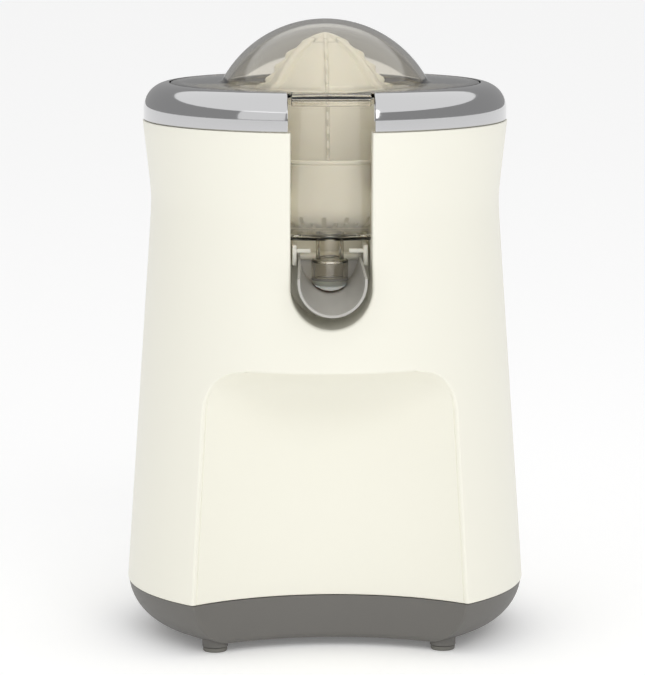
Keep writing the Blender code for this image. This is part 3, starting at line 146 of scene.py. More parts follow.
def surface(name, shade, mottle, rough, grain, relief, texture="ShaderNodeTexNoise", setting=None, stretch=(1, 1, 1), **shader):
    """A finish: slow mottle in the colour (share), grain (mm) in the roughness (from, to) and as relief (mm)."""
    found = bpy.data.materials.get(name)
    if found:
        return found
    material = bpy.data.materials.new(name)
    material.use_nodes = True
    tree = material.node_tree
    tree.nodes.clear()
    place = add_node(tree, "ShaderNodeTexCoord").outputs["Object"]
    drawn = add_node(tree, "ShaderNodeMapping", inputs={"Vector": place, "Scale": stretch}).outputs["Vector"]
    cloud = add_node(tree, "ShaderNodeTexNoise", inputs={"Vector": place, "Scale": 1000 / 45, "Detail": 2.0})
    fine = add_node(tree, texture, setting, {"Vector": drawn, "Scale": 1000 / grain})
    height = fine.outputs[0]
    darker = [channel * (1 - mottle) for channel in shade[:3]] + [1.0]
    tone = add_node(tree, "ShaderNodeMix", {"data_type": "RGBA"}, {0: cloud.outputs[0], 6: list(shade), 7: darker})
    speckled = [channel * (1 - 1.6 * mottle) for channel in shade[:3]] + [1.0]
    mixed = add_node(tree, "ShaderNodeMath", {"operation": "MULTIPLY"}, {0: height, 1: 0.5})
    tone = add_node(tree, "ShaderNodeMix", {"data_type": "RGBA"}, {0: mixed.outputs[0], 6: tone.outputs[2], 7: speckled})
    roughness = add_node(tree, "ShaderNodeMapRange", inputs={"Value": height, "To Min": rough[0], "To Max": rough[1]})
    bump = add_node(tree, "ShaderNodeBump", inputs={"Height": height, "Strength": 1.0, "Distance": relief / 1000})
    values = {"Base Color": tone.outputs[2], "Roughness": roughness.outputs["Result"], "Normal": bump.outputs["Normal"]}
    for key, value in shader.items():
        values[key.replace("_", " ").title().replace("Ior", "IOR")] = value
    shown = add_node(tree, "ShaderNodeBsdfPrincipled", inputs=values).outputs["BSDF"]
    if "transmission_weight" in shader:
        # Lamps shine through a clear wall, tinted, instead of casting a full shadow.
        lamp = add_node(tree, "ShaderNodeLightPath").outputs["Is Shadow Ray"]
        pane = add_node(tree, "ShaderNodeBsdfTransparent", inputs={"Color": list(shade)}).outputs["BSDF"]
        shown = add_node(tree, "ShaderNodeMixShader", inputs={0: lamp, 1: shown, 2: pane}).outputs["Shader"]
    add_node(tree, "ShaderNodeOutputMaterial", inputs={"Surface": shown})
    return material


def finish_piece(name, mesh, material=None, body=None, replaces=(), sharp=32.0):
    """A mesh object from a bmesh, shaded smooth up to a turn of so many degrees, riding on its body."""
    data = bpy.data.meshes.new(name)
    bmesh.ops.remove_doubles(mesh, verts=mesh.verts[:], dist=1e-6)
    mesh.to_mesh(data)
    mesh.free()
    piece = bpy.data.objects.new(name, data)
    bpy.context.scene.collection.objects.link(piece)
    return settle(piece, material, body, replaces, sharp)


def settle(piece, material, body, replaces, sharp=32.0):
    if material:
        piece.data.materials.clear()
        piece.data.materials.append(material)
        piece.data.shade_smooth()
        piece.data.set_sharp_from_angle(angle=math.radians(sharp))
    if body:
        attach(piece, body)
        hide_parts(*replaces)
    return piece


def carve(piece, tool, operation="DIFFERENCE"):
    """Cuts, joins or keeps by an exact boolean that is applied, and removes the tool."""
    step = piece.modifiers.new("carve", "BOOLEAN")
    step.operation = operation
    step.solver = "EXACT"
    step.object = tool
    made = bpy.data.meshes.new_from_object(piece.evaluated_get(bpy.context.evaluated_depsgraph_get()))
    piece.modifiers.clear()
    spare = piece.data
    piece.data = made
    made.name = piece.name
    bpy.data.meshes.remove(spare)
    spare = tool.data
    bpy.data.objects.remove(tool)
    bpy.data.meshes.remove(spare)
    if not made.polygons:
        raise RuntimeError(f"{piece.name} is empty after a boolean")
    return piece


def rounded(corners, closed=True, step=12.0):
    """An outline through corners (x, z, fillet), as (x, z) points."""
    points = []
    count = len(corners)
    for index, (x, z, radius) in enumerate(corners):
        here = Vector((x, z))
        inner = closed or 0 < index < count - 1
        if not radius or not inner:
            points.append((x, z))
            continue
        back = (Vector(corners[index - 1][:2]) - here).normalized()
        ahead = (Vector(corners[(index + 1) % count][:2]) - here).normalized()
        half = back.angle(ahead) / 2
        middle = here + (back + ahead).normalized() * radius / math.sin(half)
        start = (here + back * radius / math.tan(half) - middle).normalized()
        end = (here + ahead * radius / math.tan(half) - middle).normalized()
        steps = max(2, math.ceil(math.degrees(math.pi - 2 * half) / step))
        points += [tuple(middle + radius * start.slerp(end, at / steps)) for at in range(steps + 1)]
    return points


def arc(centre, radius, start, end, steps):
    """Points on a circle from one angle to another, in degrees."""
    angles = [math.radians(start + (end - start) * at / steps) for at in range(steps + 1)]
    return [(centre[0] + radius * math.cos(a), centre[1] + radius * math.sin(a)) for a in angles]


def spun(points, closed=True, steps=192, centres=((0.0, 0.0),)):
    """A bmesh of an outline turned about the vertical through each centre."""
    mesh = bmesh.new()
    for x, y in centres:
        verts = [mesh.verts.new((x + radius, y, height)) for radius, height in points]
        pairs = list(zip(verts, verts[1:])) + ([(verts[-1], verts[0])] if closed else [])
        edges = [mesh.edges.new(pair) for pair in pairs]
        bmesh.ops.spin(
            mesh, geom=verts + edges, cent=(x, y, 0.0), axis=(0.0, 0.0, 1.0), angle=2 * math.pi, steps=steps, use_merge=True
        )
    bmesh.ops.remove_doubles(mesh, verts=mesh.verts[:], dist=1e-6)
    bmesh.ops.dissolve_degenerate(mesh, dist=1e-7, edges=mesh.edges[:])
    bmesh.ops.recalc_face_normals(mesh, faces=mesh.faces[:])
    return mesh


def rod(radius, low, high, steps=48, centres=((0.0, 0.0),)):
    return spun([(0.0, low), (radius, low), (radius, high), (0.0, high)], False, steps, centres)


def tool(mesh):
    return finish_piece("tool", mesh)


def block(low, high, bevel=0.0, spin=0.0, mesh=None):
    """A box between two corners with rounded edges, turned about the vertical axis by so many degrees."""
    mesh = mesh or bmesh.new()
    size = [b - a for a, b in zip(low, high)]
    middle = [(a + b) / 2 for a, b in zip(low, high)]
    place = Matrix.Rotation(math.radians(spin), 4, "Z") @ Matrix.Translation(middle) @ Matrix.Diagonal((*size, 1.0))
    made = bmesh.ops.create_cube(mesh, size=1.0, matrix=place)
    if bevel:
        edges = list({edge for vert in made["verts"] for edge in vert.link_edges})
        bmesh.ops.bevel(mesh, geom=edges, offset=bevel, segments=4, profile=0.5, affect="EDGES", material=-1)
    return mesh


def prism(outline, low, high, axis="Y"):
    """An outline of (x, z) drawn along Y, or of (y, z) drawn along X."""
    mesh = bmesh.new()
    if axis == "Y":
        verts = [mesh.verts.new((x, low, z)) for x, z in outline]
        shift = (0.0, high - low, 0.0)
    else:
        verts = [mesh.verts.new((low, y, z)) for y, z in outline]
        shift = (high - low, 0.0, 0.0)
    face = mesh.faces.new(verts)
    grown = bmesh.ops.extrude_face_region(mesh, geom=[face])
    bmesh.ops.translate(mesh, vec=shift, verts=[item for item in grown["geom"] if isinstance(item, bmesh.types.BMVert)])
    bmesh.ops.recalc_face_normals(mesh, faces=mesh.faces[:])
    return mesh


def lofted(rows, capped=True):
    """A skin over closed rows of points, each row extruded from the last."""
    mesh = bmesh.new()
    ring = bmesh.ops.create_circle(mesh, cap_ends=False, radius=1.0, segments=len(rows[0]))["verts"]
    edges = mesh.edges[:]
    for vert, point in zip(ring, rows[0]):
        vert.co = point
    for row in rows[1:]:
        grown = bmesh.ops.extrude_edge_only(mesh, edges=edges)["geom"]
        order = {vert: index for index, vert in enumerate(ring)}
        fresh = [None] * len(ring)
        for vert in [item for item in grown if isinstance(item, bmesh.types.BMVert)]:
            for edge in vert.link_edges:
                below = order.get(edge.other_vert(vert))
                if below is not None:
                    fresh[below] = vert
        edges = [item for item in grown if isinstance(item, bmesh.types.BMEdge)]
        ring = fresh
        for vert, point in zip(ring, row):
            vert.co = point
    if capped:
        bmesh.ops.holes_fill(mesh, edges=[edge for edge in mesh.edges if edge.is_boundary], sides=0)
    bmesh.ops.recalc_face_normals(mesh, faces=mesh.faces[:])
    return mesh


def around(radius, angles):
    """Places on a circle, by angle in degrees from +X."""
    return [(radius * math.cos(math.radians(a)), radius * math.sin(math.radians(a))) for a in angles]


# Finishes


def palette():
    return bpy.context.scene.press_colours


def ivory_abs():
    # Moulded ABS with a satin grain: an even, soft glow and no sharp reflections.
    return surface("ivory_abs_satin", palette().ivory, 0.012, (0.34, 0.44), 0.5, 0.004, coat_weight=0.08, coat_roughness=0.25)


def chromed_abs():
    # Electroplated ABS: a bright mirror with the slightest ripple of the moulding under it.
    return surface("chromed_abs_bright", palette().chrome, 0.01, (0.05, 0.10), 14.0, 0.010, metallic=1.0)


def grey_abs():
    # Spark-eroded ABS: dark and matt, with a fine even grain.
    return surface("grey_abs_grained", palette().grey, 0.05, (0.42, 0.56), 0.7, 0.015, specular_ior_level=0.4)


def smoke_san():
    # Clear SAN with a warm smoke tint: glossy, and darker where the wall is seen edge on.
    return surface("smoke_san_clear", palette().smoke, 0.01, (0.015, 0.035), 22.0, 0.006, ior=1.57, transmission_weight=1.0)


def natural_pp():
    # Uncoloured polypropylene: milky white, a little waxy.
    return surface(
        "natural_polypropylene", palette().natural, 0.01, (0.36, 0.46), 0.9, 0.004,
        subsurface_weight=0.15, subsurface_radius=(0.004, 0.003, 0.002), subsurface_scale=0.5,
    )


def silver_abs():
    # Silver-grey ABS filled with aluminium flake: satin with a faint metallic lift.
    return surface("silver_abs_flake", palette().silver, 0.05, (0.26, 0.40), 0.35, 0.006, metallic=0.2)


def dark_rubber():
    # Moulded thermoplastic rubber: matt and dark.
    return surface("rubber_moulded", palette().rubber, 0.06, (0.60, 0.78), 0.8, 0.020)


def pale_silicone():
    # Pressed silicone: pale, soft and slightly translucent.
    return surface("silicone_pressed", linear("#c9c7c0"), 0.03, (0.45, 0.60), 0.8, 0.008, subsurface_weight=0.2)


def drawn_steel():
    # Cold-drawn steel: fine lines along the rod.
    return surface("steel_drawn", linear("#b9b9bb"), 0.06, (0.22, 0.38), 0.5, 0.004, stretch=(1, 1, 0.08), metallic=1.0)


def sintered_bronze():
    # Oil-soaked sintered bronze: dull and open-grained.
    return surface("bronze_sintered", linear("#9c7648"), 0.15, (0.40, 0.60), 0.6, 0.020, "ShaderNodeTexVoronoi", metallic=1.0)


def machined_acetal():
    # Injected acetal: creamy white and slippery.
    return surface("acetal_moulded", linear("#e6e2d6"), 0.02, (0.30, 0.42), 1.2, 0.006)


def enamelled_copper():
    # Enamelled copper wire of 0.4 mm, drawn at 1 mm so that its turns show.
    return surface(
        "copper_enamelled", linear("#b0602c"), 0.25, (0.25, 0.45), 3.0, 0.200, "ShaderNodeTexWave",
        {"bands_direction": "Z"}, metallic=1.0,
    )


def steel_laminations():
    # A stack of 0.5 mm steel sheets: fine level lines.
    return surface(
        "steel_laminations", linear("#6c6c70"), 0.30, (0.35, 0.60), 3.0, 0.100, "ShaderNodeTexWave",
        {"bands_direction": "Z"}, metallic=1.0,
    )


FINISHES = {
    "ivory_shell": ivory_abs,
    "chromed_trim": chromed_abs,
    "base_grey": grey_abs,
    "smoke_clear": smoke_san,
    "ivory_food": natural_pp,
    "silver_grey": silver_abs,
    "dark_rubber": dark_rubber,
    "pale_silicone": pale_silicone,
    "steel": drawn_steel,
    "bearing_bronze": sintered_bronze,
    "acetal": machined_acetal,
    "copper_wire": enamelled_copper,
    "laminations": steel_laminations,
}


# Body


def sizes():
    return bpy.context.scene.press_sizes


def soft_step(value, width=0.004):
    """Zero below nought and the value above it, with a round corner between."""
    return (value + math.sqrt(value * value + width * width)) / 2


def body_radius(height):
    """The body's radius: it narrows to the waist and flares above it."""
    size = sizes()
    splay = (size.foot - size.waist) / (size.waist_height - housing_box[0].z)
    flare = (size.mouth - size.waist) / (housing_box[1].z - size.waist_height)
    over = height - size.waist_height
    return size.waist + splay * soft_step(-over) + flare * soft_step(over)


def scoop_radius(height, inset=0.0):
    """The scoop's radius at a height: upright, then turned in by its round shoulder."""
    size = sizes()
    bend = size.scoop_fillet + inset
    rise = max(0.0, height - (size.scoop_top - size.scoop_fillet))
    return size.scoop - size.scoop_fillet + math.sqrt(max(0.0, bend * bend - rise * rise))


def plan(outer, scoop, corner, back=150, turn=5, front=60, groove=0.0):
    """A row's plan as (x, y): outer circle through the back, corner, scoop, corner. A groove may run beside each corner."""
    away = sizes().scoop_place
    near = outer - corner
    far = scoop + corner
    angle = math.acos((near * near + away * away - far * far) / (2 * near * away))
    spot = Vector((near * math.sin(angle), -near * math.cos(angle)))
    centre = Vector((0.0, -away))
    points = []
    for at in range(back + 1):
        way = angle + (2 * math.pi - 2 * angle) * at / back
        points.append((outer * math.sin(way), -outer * math.cos(way)))
    outward = spot.normalized()
    inward = (centre - spot).normalized()
    bend = [spot + corner * outward.slerp(inward, at / turn) for at in range(1, turn + 1)]
    points += [(-point.x, point.y) for point in bend]
    sweep = math.atan2(spot.x, spot.y + away)
    marks = [(0.0010, 0.0), (0.0013, groove), (0.0016, 0.0)]
    left = [(-sweep + reach / scoop, depth) for reach, depth in marks]
    inner = sweep - 0.0016 / scoop
    middle = [(-inner + 2 * inner * at / front, 0.0) for at in range(1, front)]
    right = [(-way, depth) for way, depth in reversed(left)]
    for way, depth in left + middle + right:
        points.append(((scoop + depth) * math.sin(way), -away + (scoop + depth) * math.cos(way)))
    points += [(point.x, point.y) for point in reversed(bend)]
    return points


def lift(points, height):
    return [(x, y, height) for x, y in points]


def body_rows(inset, bottom, top, corner, lip, groove, **steps):
    """The body's rows from bottom to top, moved inwards by an inset; lip rounds the lowest and highest edges."""
    size = sizes()
    shoulder = size.scoop_top - size.scoop_fillet
    bend = size.scoop_fillet + inset
    rows = []
    if lip:
        for angle in (0, 30, 60):
            turned_in = lip * (1 - math.sin(math.radians(angle)))
            height = bottom + lip * (1 - math.cos(math.radians(angle)))
            outer = body_radius(height) - inset - turned_in
            rows.append(lift(plan(outer, scoop_radius(height, inset) + turned_in, corner, groove=groove, **steps), height))
    heights = [bottom + lip + (shoulder - bottom - lip) * at / 12 for at in range(13)]
    heights += [shoulder + bend * math.sin(math.radians(angle)) for angle in range(6, 91, 6)]
    for height in heights:
        fade = max(0.0, min(1.0, (shoulder + 0.015 - height) / 0.015)) if height > shoulder else 1.0
        outer = body_radius(height) - inset
        rows.append(lift(plan(outer, scoop_radius(height, inset), corner, groove=groove * fade, **steps), height))
    back = steps.get("back", 150)
    ledge = heights[-1]
    last = rows[-1]
    outer = body_radius(ledge) - inset
    edge = 0.0016
    turn = steps.get("turn", 5)
    shares = []
    for index in range(len(last)):
        beyond = min(index - back, len(last) - index)
        shares.append(max(0.0, min(1.0, beyond / turn)))
    ways = [math.atan2(x, -y) for x, y, z in last]
    for index, (x, y, z) in enumerate(last):
        if shares[index] > 0:
            ways[index] = math.asin(max(-1.0, min(1.0, x / outer)))
    for angle in (0, 18, 36, 54, 72, 90):
        swing = math.radians(angle)
        height = ledge + edge * (1 - math.cos(swing))
        row = []
        for way, share in zip(ways, shares):
            reach = body_radius(height) - inset - edge * share * (1 - math.sin(swing))
            row.append((reach * math.sin(way), -reach * math.cos(way), height))
        rows.append(row)
    waist = size.waist_height
    heights = [ledge + 0.004, ledge + 0.010, ledge + 0.020, 0.175, 0.188, 0.198]
    heights += [waist + step / 1000 for step in range(-12, 14, 2)]
    heights += [0.234, 0.243, top - lip]
    for height in heights:
        reach = body_radius(height) - inset
        rows.append([(reach * math.sin(way), -reach * math.cos(way), height) for way in ways])
    if lip:
        for angle in (30, 60, 90):
            swing = math.radians(angle)
            height = top - lip * (1 - math.sin(swing))
            reach = body_radius(height) - inset - lip * (1 - math.cos(swing))
            rows.append([(reach * math.sin(way), -reach * math.cos(way), height) for way in ways])
    return rows


def window_outline(grow, top):
    """The window's U as (x, z), from its right top corner down, round and up."""
    size = sizes()
    half = size.window + grow
    middle = size.window_bottom + size.window
    side = [middle + (top - middle) * at / 18 for at in range(18, 0, -1)]
    right = [(half, height) for height in side]
    bottom = arc((0.0, middle), half, 0, -180, 36)
    left = [(-half, height) for height in reversed(side)]
    return right + bottom + left


def window_tool(top):
    """The window's cutter, whose mouth opens with a round edge along the body's curve."""
    size = sizes()
    edge = 0.0014
    rows = []
    for angle, out in ((10, 0.006), (10, 0.0), (25, 0.0), (40, 0.0), (55, 0.0), (72, 0.0), (90, 0.0)):
        swing = math.radians(angle)
        grow = edge * (1 - math.sin(swing))
        depth = edge * (1 - math.cos(swing)) - out
        row = []
        for x, z in window_outline(grow, top):
            reach = body_radius(z)
            row.append((x, -math.sqrt(reach * reach - x * x) + depth, z))
        rows.append(row)
    rows.append([(x, -size.niche, z) for x, z in window_outline(0.0, top)])
    return tool(lofted(rows))


def spokes(angles, inner, outer, width, low, high):
    """Upright blocks that run outwards at each angle."""
    mesh = bmesh.new()
    for angle in angles:
        block((inner, -width / 2, low), (outer, width / 2, high), 0.0, angle, mesh)
    return mesh


class PRESS_OT_housing(bpy.types.Operator):
    """Lofts the ivory body, hollows it and cuts its window and well"""

    bl_idname = "press.housing"
    bl_label = "Body"

    def execute(self, context):
        size = sizes()
        bottom = housing_box[0].z
        top = housing_box[1].z
        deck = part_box("drive_deck")
        above = top + 0.03
        body = tool(lofted(body_rows(0.0, bottom, top, size.ridge, 0.0006, 0.0004)))
        inside = tool(lofted(body_rows(size.wall, bottom - 0.01, above, 0.0006, 0.0, 0.0, back=96, turn=2, front=32)))
        carve(inside, tool(prism(window_outline(size.wall, above + 0.01), -0.13, size.wall - size.niche)))
        carve(inside, tool(spokes((45, 135, 225, 315), 0.0745, 0.0850, 0.009, deck[0].z - 0.0200, deck[0].z - 0.0003)))
        carve(inside, tool(spokes((30, 150, 215, 325), 0.0755, 0.0957, 0.009, bottom - 0.02, bottom + 0.0340)))
        carve(body, inside)
        carve(body, window_tool(above))
        well = [(0.0, deck[1].z), (ring_box[1].x - size.ring_bend + 0.0005, deck[1].z)]
        well += [(ring_box[1].x - size.ring_bend + 0.0005, above), (0.0, above)]
        carve(body, tool(spun(well, False, 192)))
        carve(body, tool(rod(0.0018, deck[0].z - 0.0140, deck[1].z, 16, around(0.0785, (45, 135, 225, 315)))))
        carve(body, tool(rod(0.0018, bottom - 0.01, bottom + 0.0170, 16, around(0.0800, (30, 150, 215, 325)))))
        body.name = "body_shell"
        settle(body, ivory_abs(), "stand", ["housing"])
        return {"FINISHED"}


class PRESS_OT_ring(bpy.types.Operator):
    """Turns the chromed ring and opens its gate"""

    bl_idname = "press.ring"
    bl_label = "Chromed ring"

    def execute(self, context):
        size = sizes()
        low, high = ring_box
        bore = high.x - size.ring_bend
        wall = 0.0015
        centre = (bore, high.z - size.ring_bend)
        outline = [(high.x - 0.0004, low.z), (high.x, low.z + 0.0004)]
        outline += arc(centre, size.ring_bend, 0, 90, 16)
        outline += [(bore, centre[1] - 0.0010), (bore + wall, centre[1] - 0.0010)]
        outline += arc(centre, size.ring_bend - wall, 80, 0, 8) + [(high.x - wall, low.z)]
        ring = tool(spun(outline, True, 256))
        gate = size.window + 0.0012
        carve(ring, tool(block((-gate, -0.12, low.z - 0.01), (gate, -0.05, high.z + 0.01))))
        mesh = bmesh.new()
        mesh.from_mesh(ring.data)
        ends = [edge for edge in mesh.edges if len(edge.link_faces) == 2 and edge.calc_face_angle() > 1.0
                and all(abs(abs(vert.co.x) - gate) < 1e-5 and vert.co.y < 0 for vert in edge.verts)]
        bmesh.ops.bevel(mesh, geom=ends, offset=0.0004, segments=3, profile=0.5, affect="EDGES", material=-1)
        mesh.to_mesh(ring.data)
        mesh.free()
        ring.name = "ring_plated"
        settle(ring, chromed_abs(), "stand", ["chrome_ring"], 40.0)
        return {"FINISHED"}


class PRESS_OT_base(bpy.types.Operator):
    """Lofts the grey base with its scooped front and hollows it"""

    bl_idname = "press.base"
    bl_label = "Base"

    def execute(self, context):
        size = sizes()
        floor = 0.004
        top = base_box[1].z
        bend = 0.0240
        reach = math.sqrt(bend * bend - (floor + bend - top) ** 2)
        middle = (base_box[1].x - reach, floor + bend)
        rim = -math.degrees(math.acos(reach / bend))

        def base_rows(inset, low, high, foot_round, corner, steps):
            rows = []
            for radius, height in arc(middle, bend - inset, -90, rim, 18):
                lifted = min(1.0, (height - low) / foot_round) if foot_round else 1.0
                turned_in = foot_round * (1 - math.sqrt(1 - (1 - lifted) ** 2))
                rows.append(lift(plan(radius, size.scoop + inset + turned_in, corner, **steps), height))
            rows.append(lift(plan(rows_reach(rows), size.scoop + inset, corner, **steps), high))
            return rows

        def rows_reach(rows):
            x, y, z = rows[-1][0]
            return math.hypot(x, y)

        fine = {"back": 150, "turn": 5, "front": 60}
        coarse = {"back": 96, "turn": 2, "front": 32}
        base = tool(lofted(base_rows(0.0, floor, top, 0.0030, size.ridge, fine)[:-1]))
        feet = foot_places()
        carve(base, tool(rod(0.0062, 0.0025, 0.010, 32, feet)), "UNION")
        hollow = tool(lofted(base_rows(size.wall, floor + size.wall, top + 0.01, 0.0, 0.0006, coarse)))
        posts = around(0.0800, (30, 150, 215, 325))
        carve(hollow, tool(rod(0.0050, 0.0, top + 0.03, 24, posts)))
        carve(base, hollow)
        bore = [(0.0, -0.01), (0.0036, -0.01), (0.0036, 0.0125), (0.0018, 0.0125), (0.0018, top + 0.01), (0.0, top + 0.01)]
        carve(base, tool(spun(bore, False, 24, posts)))
        carve(base, tool(rod(0.0032, -0.01, 0.024, 24, feet)))
        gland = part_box("cord_gland")
        hole = spun([(0.0, 0.0), (0.0051, 0.0), (0.0051, 0.05), (0.0, 0.05)], False, 32)
        turn = Matrix.Translation((0.0, 0.065, (gland[0].z + gland[1].z) / 2)) @ Matrix.Rotation(-math.pi / 2, 4, "X")
        bmesh.ops.transform(hole, matrix=turn, verts=hole.verts[:])
        carve(base, tool(hole))
        base.name = "base_shell"
        settle(base, grey_abs(), "stand", ["base"])
        return {"FINISHED"}


def foot_places():
    """Where the feet stand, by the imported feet's middles."""
    places = []
    for name in ("foot_front_left", "foot_front_right", "foot_rear_left", "foot_rear_right"):
        low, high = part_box(name)
        places.append(((low.x + high.x) / 2, (low.y + high.y) / 2))
    return places


class PRESS_OT_feet(bpy.types.Operator):
    """Turns the four rubber feet"""

    bl_idname = "press.feet"
    bl_label = "Feet"

    def execute(self, context):
        names = ("foot_front_left", "foot_front_right", "foot_rear_left", "foot_rear_right")
        corners = [(0.0, 0.0005, 0), (0.0044, 0.0005, 0.0002), (0.0046, 0.0, 0.0002), (0.0058, 0.0, 0.0008)]
        corners += [(0.0058, 0.0022, 0.0004), (0.0029, 0.0022, 0), (0.0029, 0.0095, 0.0005), (0.0, 0.0095, 0)]
        for name, place in zip(names, foot_places()):
            mesh = spun(rounded(corners, False), False, 64, (place,))
            finish_piece(f"{name}_pad", mesh, dark_rubber(), "stand", [name], 50.0)
        return {"FINISHED"}


# Clear pieces


class PRESS_OT_lid(bpy.types.Operator):
    """Turns the domed lid and joins its lifting tongue"""

    bl_idname = "press.lid"
    bl_label = "Lid"

    def execute(self, context):
        size = sizes()
        low, high = lid_box
        plate = ring_box[1].z
        under = plate - 0.0030
        rim = ring_box[1].x - size.ring_bend - 0.0005
        rise = high.z - plate
        dome = (size.dome_base ** 2 + rise * rise) / (2 * rise)
        centre = high.z - dome
        wall = 0.0023
        start = math.degrees(math.asin((plate - centre) / dome))
        inner_start = math.degrees(math.asin((under - centre) / (dome - wall)))
        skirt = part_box("juice_bowl")[1].x - size.clear_wall - 0.0005
        outline = arc((0.0, centre), dome, 90, start + 1.5, 40)
        foot = size.dome_base
        outline += [(foot + 0.0004, plate + 0.0004), (foot + 0.0014, plate)]
        outline += rounded([(foot + 0.002, plate, 0), (rim, plate, 0.0009), (rim, under, 0.0004), (skirt, under, 0.0002),
                            (skirt, low.z, 0.0004), (skirt - 0.0016, low.z, 0.0004), (skirt - 0.0016, under, 0.0004),
                            (foot, under, 0)], False, 20.0)
        outline += arc((0.0, centre), dome - wall, inner_start + 1.0, 90, 40)
        lid = tool(spun(outline, False, 192))
        half = 0.0185
        front = low.y
        tongue = tongue_mesh(half, front, 0.0040 - rim, under + 0.00002, plate - 0.00002, 0.0012)
        carve(lid, tool(tongue), "UNION")
        lid.name = "lid_clear"
        settle(lid, smoke_san(), "lid", ["lid"], 35.0)
        return {"FINISHED"}


def tongue_mesh(half, front, back, low, high, corner):
    """A flat tongue with rounded front corners and edges."""
    mesh = block((-half, front, low), (half, back, high))
    upright = [edge for edge in mesh.edges if all(vert.co.y < front + 1e-6 for vert in edge.verts)
               and abs(edge.verts[0].co.z - edge.verts[1].co.z) > 1e-6]
    bmesh.ops.bevel(mesh, geom=upright, offset=corner * 1.5, segments=6, profile=0.5, affect="EDGES", material=-1)
    rims = [edge for edge in mesh.edges if edge.calc_face_angle(0.0) > 0.9
            and abs(edge.verts[0].co.z - edge.verts[1].co.z) < 1e-6 and min(v.co.y for v in edge.verts) < back - 1e-5]
    bmesh.ops.bevel(mesh, geom=rims, offset=0.0006, segments=3, profile=0.5, affect="EDGES", material=-1)
    return mesh


class PRESS_OT_bowl(bpy.types.Operator):
    """Turns the clear juice bowl with its outlet, and the outlet's gasket"""

    bl_idname = "press.bowl"
    bl_label = "Juice bowl"

    def execute(self, context):
        size = sizes()
        low, high = bowl_box
        radius = high.x
        bottom = frame_value("deck_top") + 0.0003
        floor = bottom + 0.0025
        wall = size.clear_wall
        chimney = frame_value("chimney_bore")
        outer = chimney + 0.0020
        chimney_top = frame_value("chimney_top")
        corners = [(chimney, bottom, 0.0003), (radius, bottom, 0.0060), (radius, high.z, 0.0007), (radius - wall, high.z, 0.0007),
                   (radius - wall, floor, 0.0040), (outer, floor, 0.0015), (outer, chimney_top, 0.0007),
                   (chimney, chimney_top, 0.0005)]
        bowl = tool(spun(rounded(corners, True, 15.0), True, 192))
        spot = ((0.0, -size.outlet),)
        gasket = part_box("outlet_gasket")
        mouth = gasket[1].z + 0.0003
        skirt_top = gasket[0].z + 0.0100
        bore = [(0.0, floor + 0.01), (0.0048, floor + 0.01), (0.0048, skirt_top), (0.0069, skirt_top - 0.0018),
                (0.0069, mouth - 0.01), (0.0, mouth - 0.01)]
        pipe = rounded([(0.0, floor - 0.0006, 0), (0.0066, floor - 0.0006, 0), (0.0066, skirt_top, 0.0008),
                        (0.0087, skirt_top, 0.0009), (0.0087, mouth, 0.0004), (0.0, mouth, 0)], False, 20.0)
        carve(bowl, tool(spun(pipe, False, 64, spot)), "UNION")
        carve(bowl, tool(spun(bore, False, 64, spot)))
        tab = tool(tongue_mesh(0.0185, low.y, 0.0010 - radius, high.z - 0.0026, high.z - 0.00002, 0.0012))
        carve(tab, tool(rod(radius - 0.0010, 0.0, 0.3, 192)))
        carve(bowl, tab, "UNION")
        bowl.name = "bowl_clear"
        settle(bowl, smoke_san(), "bowl", ["juice_bowl"], 35.0)
        seal = rounded([(0.0069, gasket[0].z, 0.0003), (0.0087, gasket[0].z, 0.0004), (0.0087, gasket[1].z, 0.0003),
                        (0.0069, gasket[1].z, 0.0002)], True, 30.0)
        finish_piece("outlet_ring", spun(seal, True, 64, spot), dark_rubber(), "bowl", ["outlet_gasket"])
        return {"FINISHED"}


def frame_value(name):
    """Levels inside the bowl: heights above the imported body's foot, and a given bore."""
    deck_top = housing_box[0].z + 0.1736
    values = {
        "deck_top": deck_top,
        "chimney_bore": 0.0101,
        "chimney_top": deck_top + 0.0268,
    }
    return values[name]


class PRESS_OT_strainer(bpy.types.Operator):
    """Turns the strainer and cuts its slots"""

    bl_idname = "press.strainer"
    bl_label = "Strainer"

    def execute(self, context):
        size = sizes()
        low, high = strainer_box
        rim = high.x
        side = rim - 0.0030
        wall = 0.0016
        floor = low.z + 0.0017
        chimney = frame_value("chimney_bore") + 0.0020 + 0.0003
        top = high.z
        stand = chimney + wall + 0.0035
        inner_top = frame_value("chimney_top") - 0.0010
        corners = [(chimney, low.z, 0), (stand, low.z, 0.0004), (stand, floor, 0.0004), (side, floor, 0.0120),
                   (rim - 0.0004, top - 0.0024, 0.0004), (rim - 0.0010, top - 0.0020, 0.0002), (rim, top - 0.0016, 0.0003),
                   (rim, top, 0.0006), (rim - wall, top, 0.0006), (side - wall, floor + wall, 0.0104),
                   (chimney + wall, floor + wall, 0.0010), (chimney + wall, inner_top, 0.0005), (chimney, inner_top, 0.0004)]
        basket = tool(spun(rounded(corners, True, 12.0), True, 288))
        mesh = bmesh.new()
        half = 0.0011
        inner = side - 0.0190
        for index in range(size.slots):
            height = floor + (0.0060 if index % 2 else 0.0030)
            outline = [(half, floor - 0.001), (half, height - half)] + arc((0.0, height - half), half, 30, 150, 4)
            outline += [(-half, height - half), (-half, floor - 0.001)]
            cutter = prism(outline, -(side + 0.004), -inner)
            bmesh.ops.rotate(cutter, cent=(0, 0, 0), verts=cutter.verts[:],
                             matrix=Matrix.Rotation((index + 0.5) * 2 * math.pi / size.slots, 3, "Z"))
            spare = bpy.data.meshes.new("slot")
            cutter.to_mesh(spare)
            cutter.free()
            mesh.from_mesh(spare)
            bpy.data.meshes.remove(spare)
        carve(basket, tool(mesh))
        basket.name = "strainer_basket"
        settle(basket, natural_pp(), "bowl", ["strainer"])
        return {"FINISHED"}


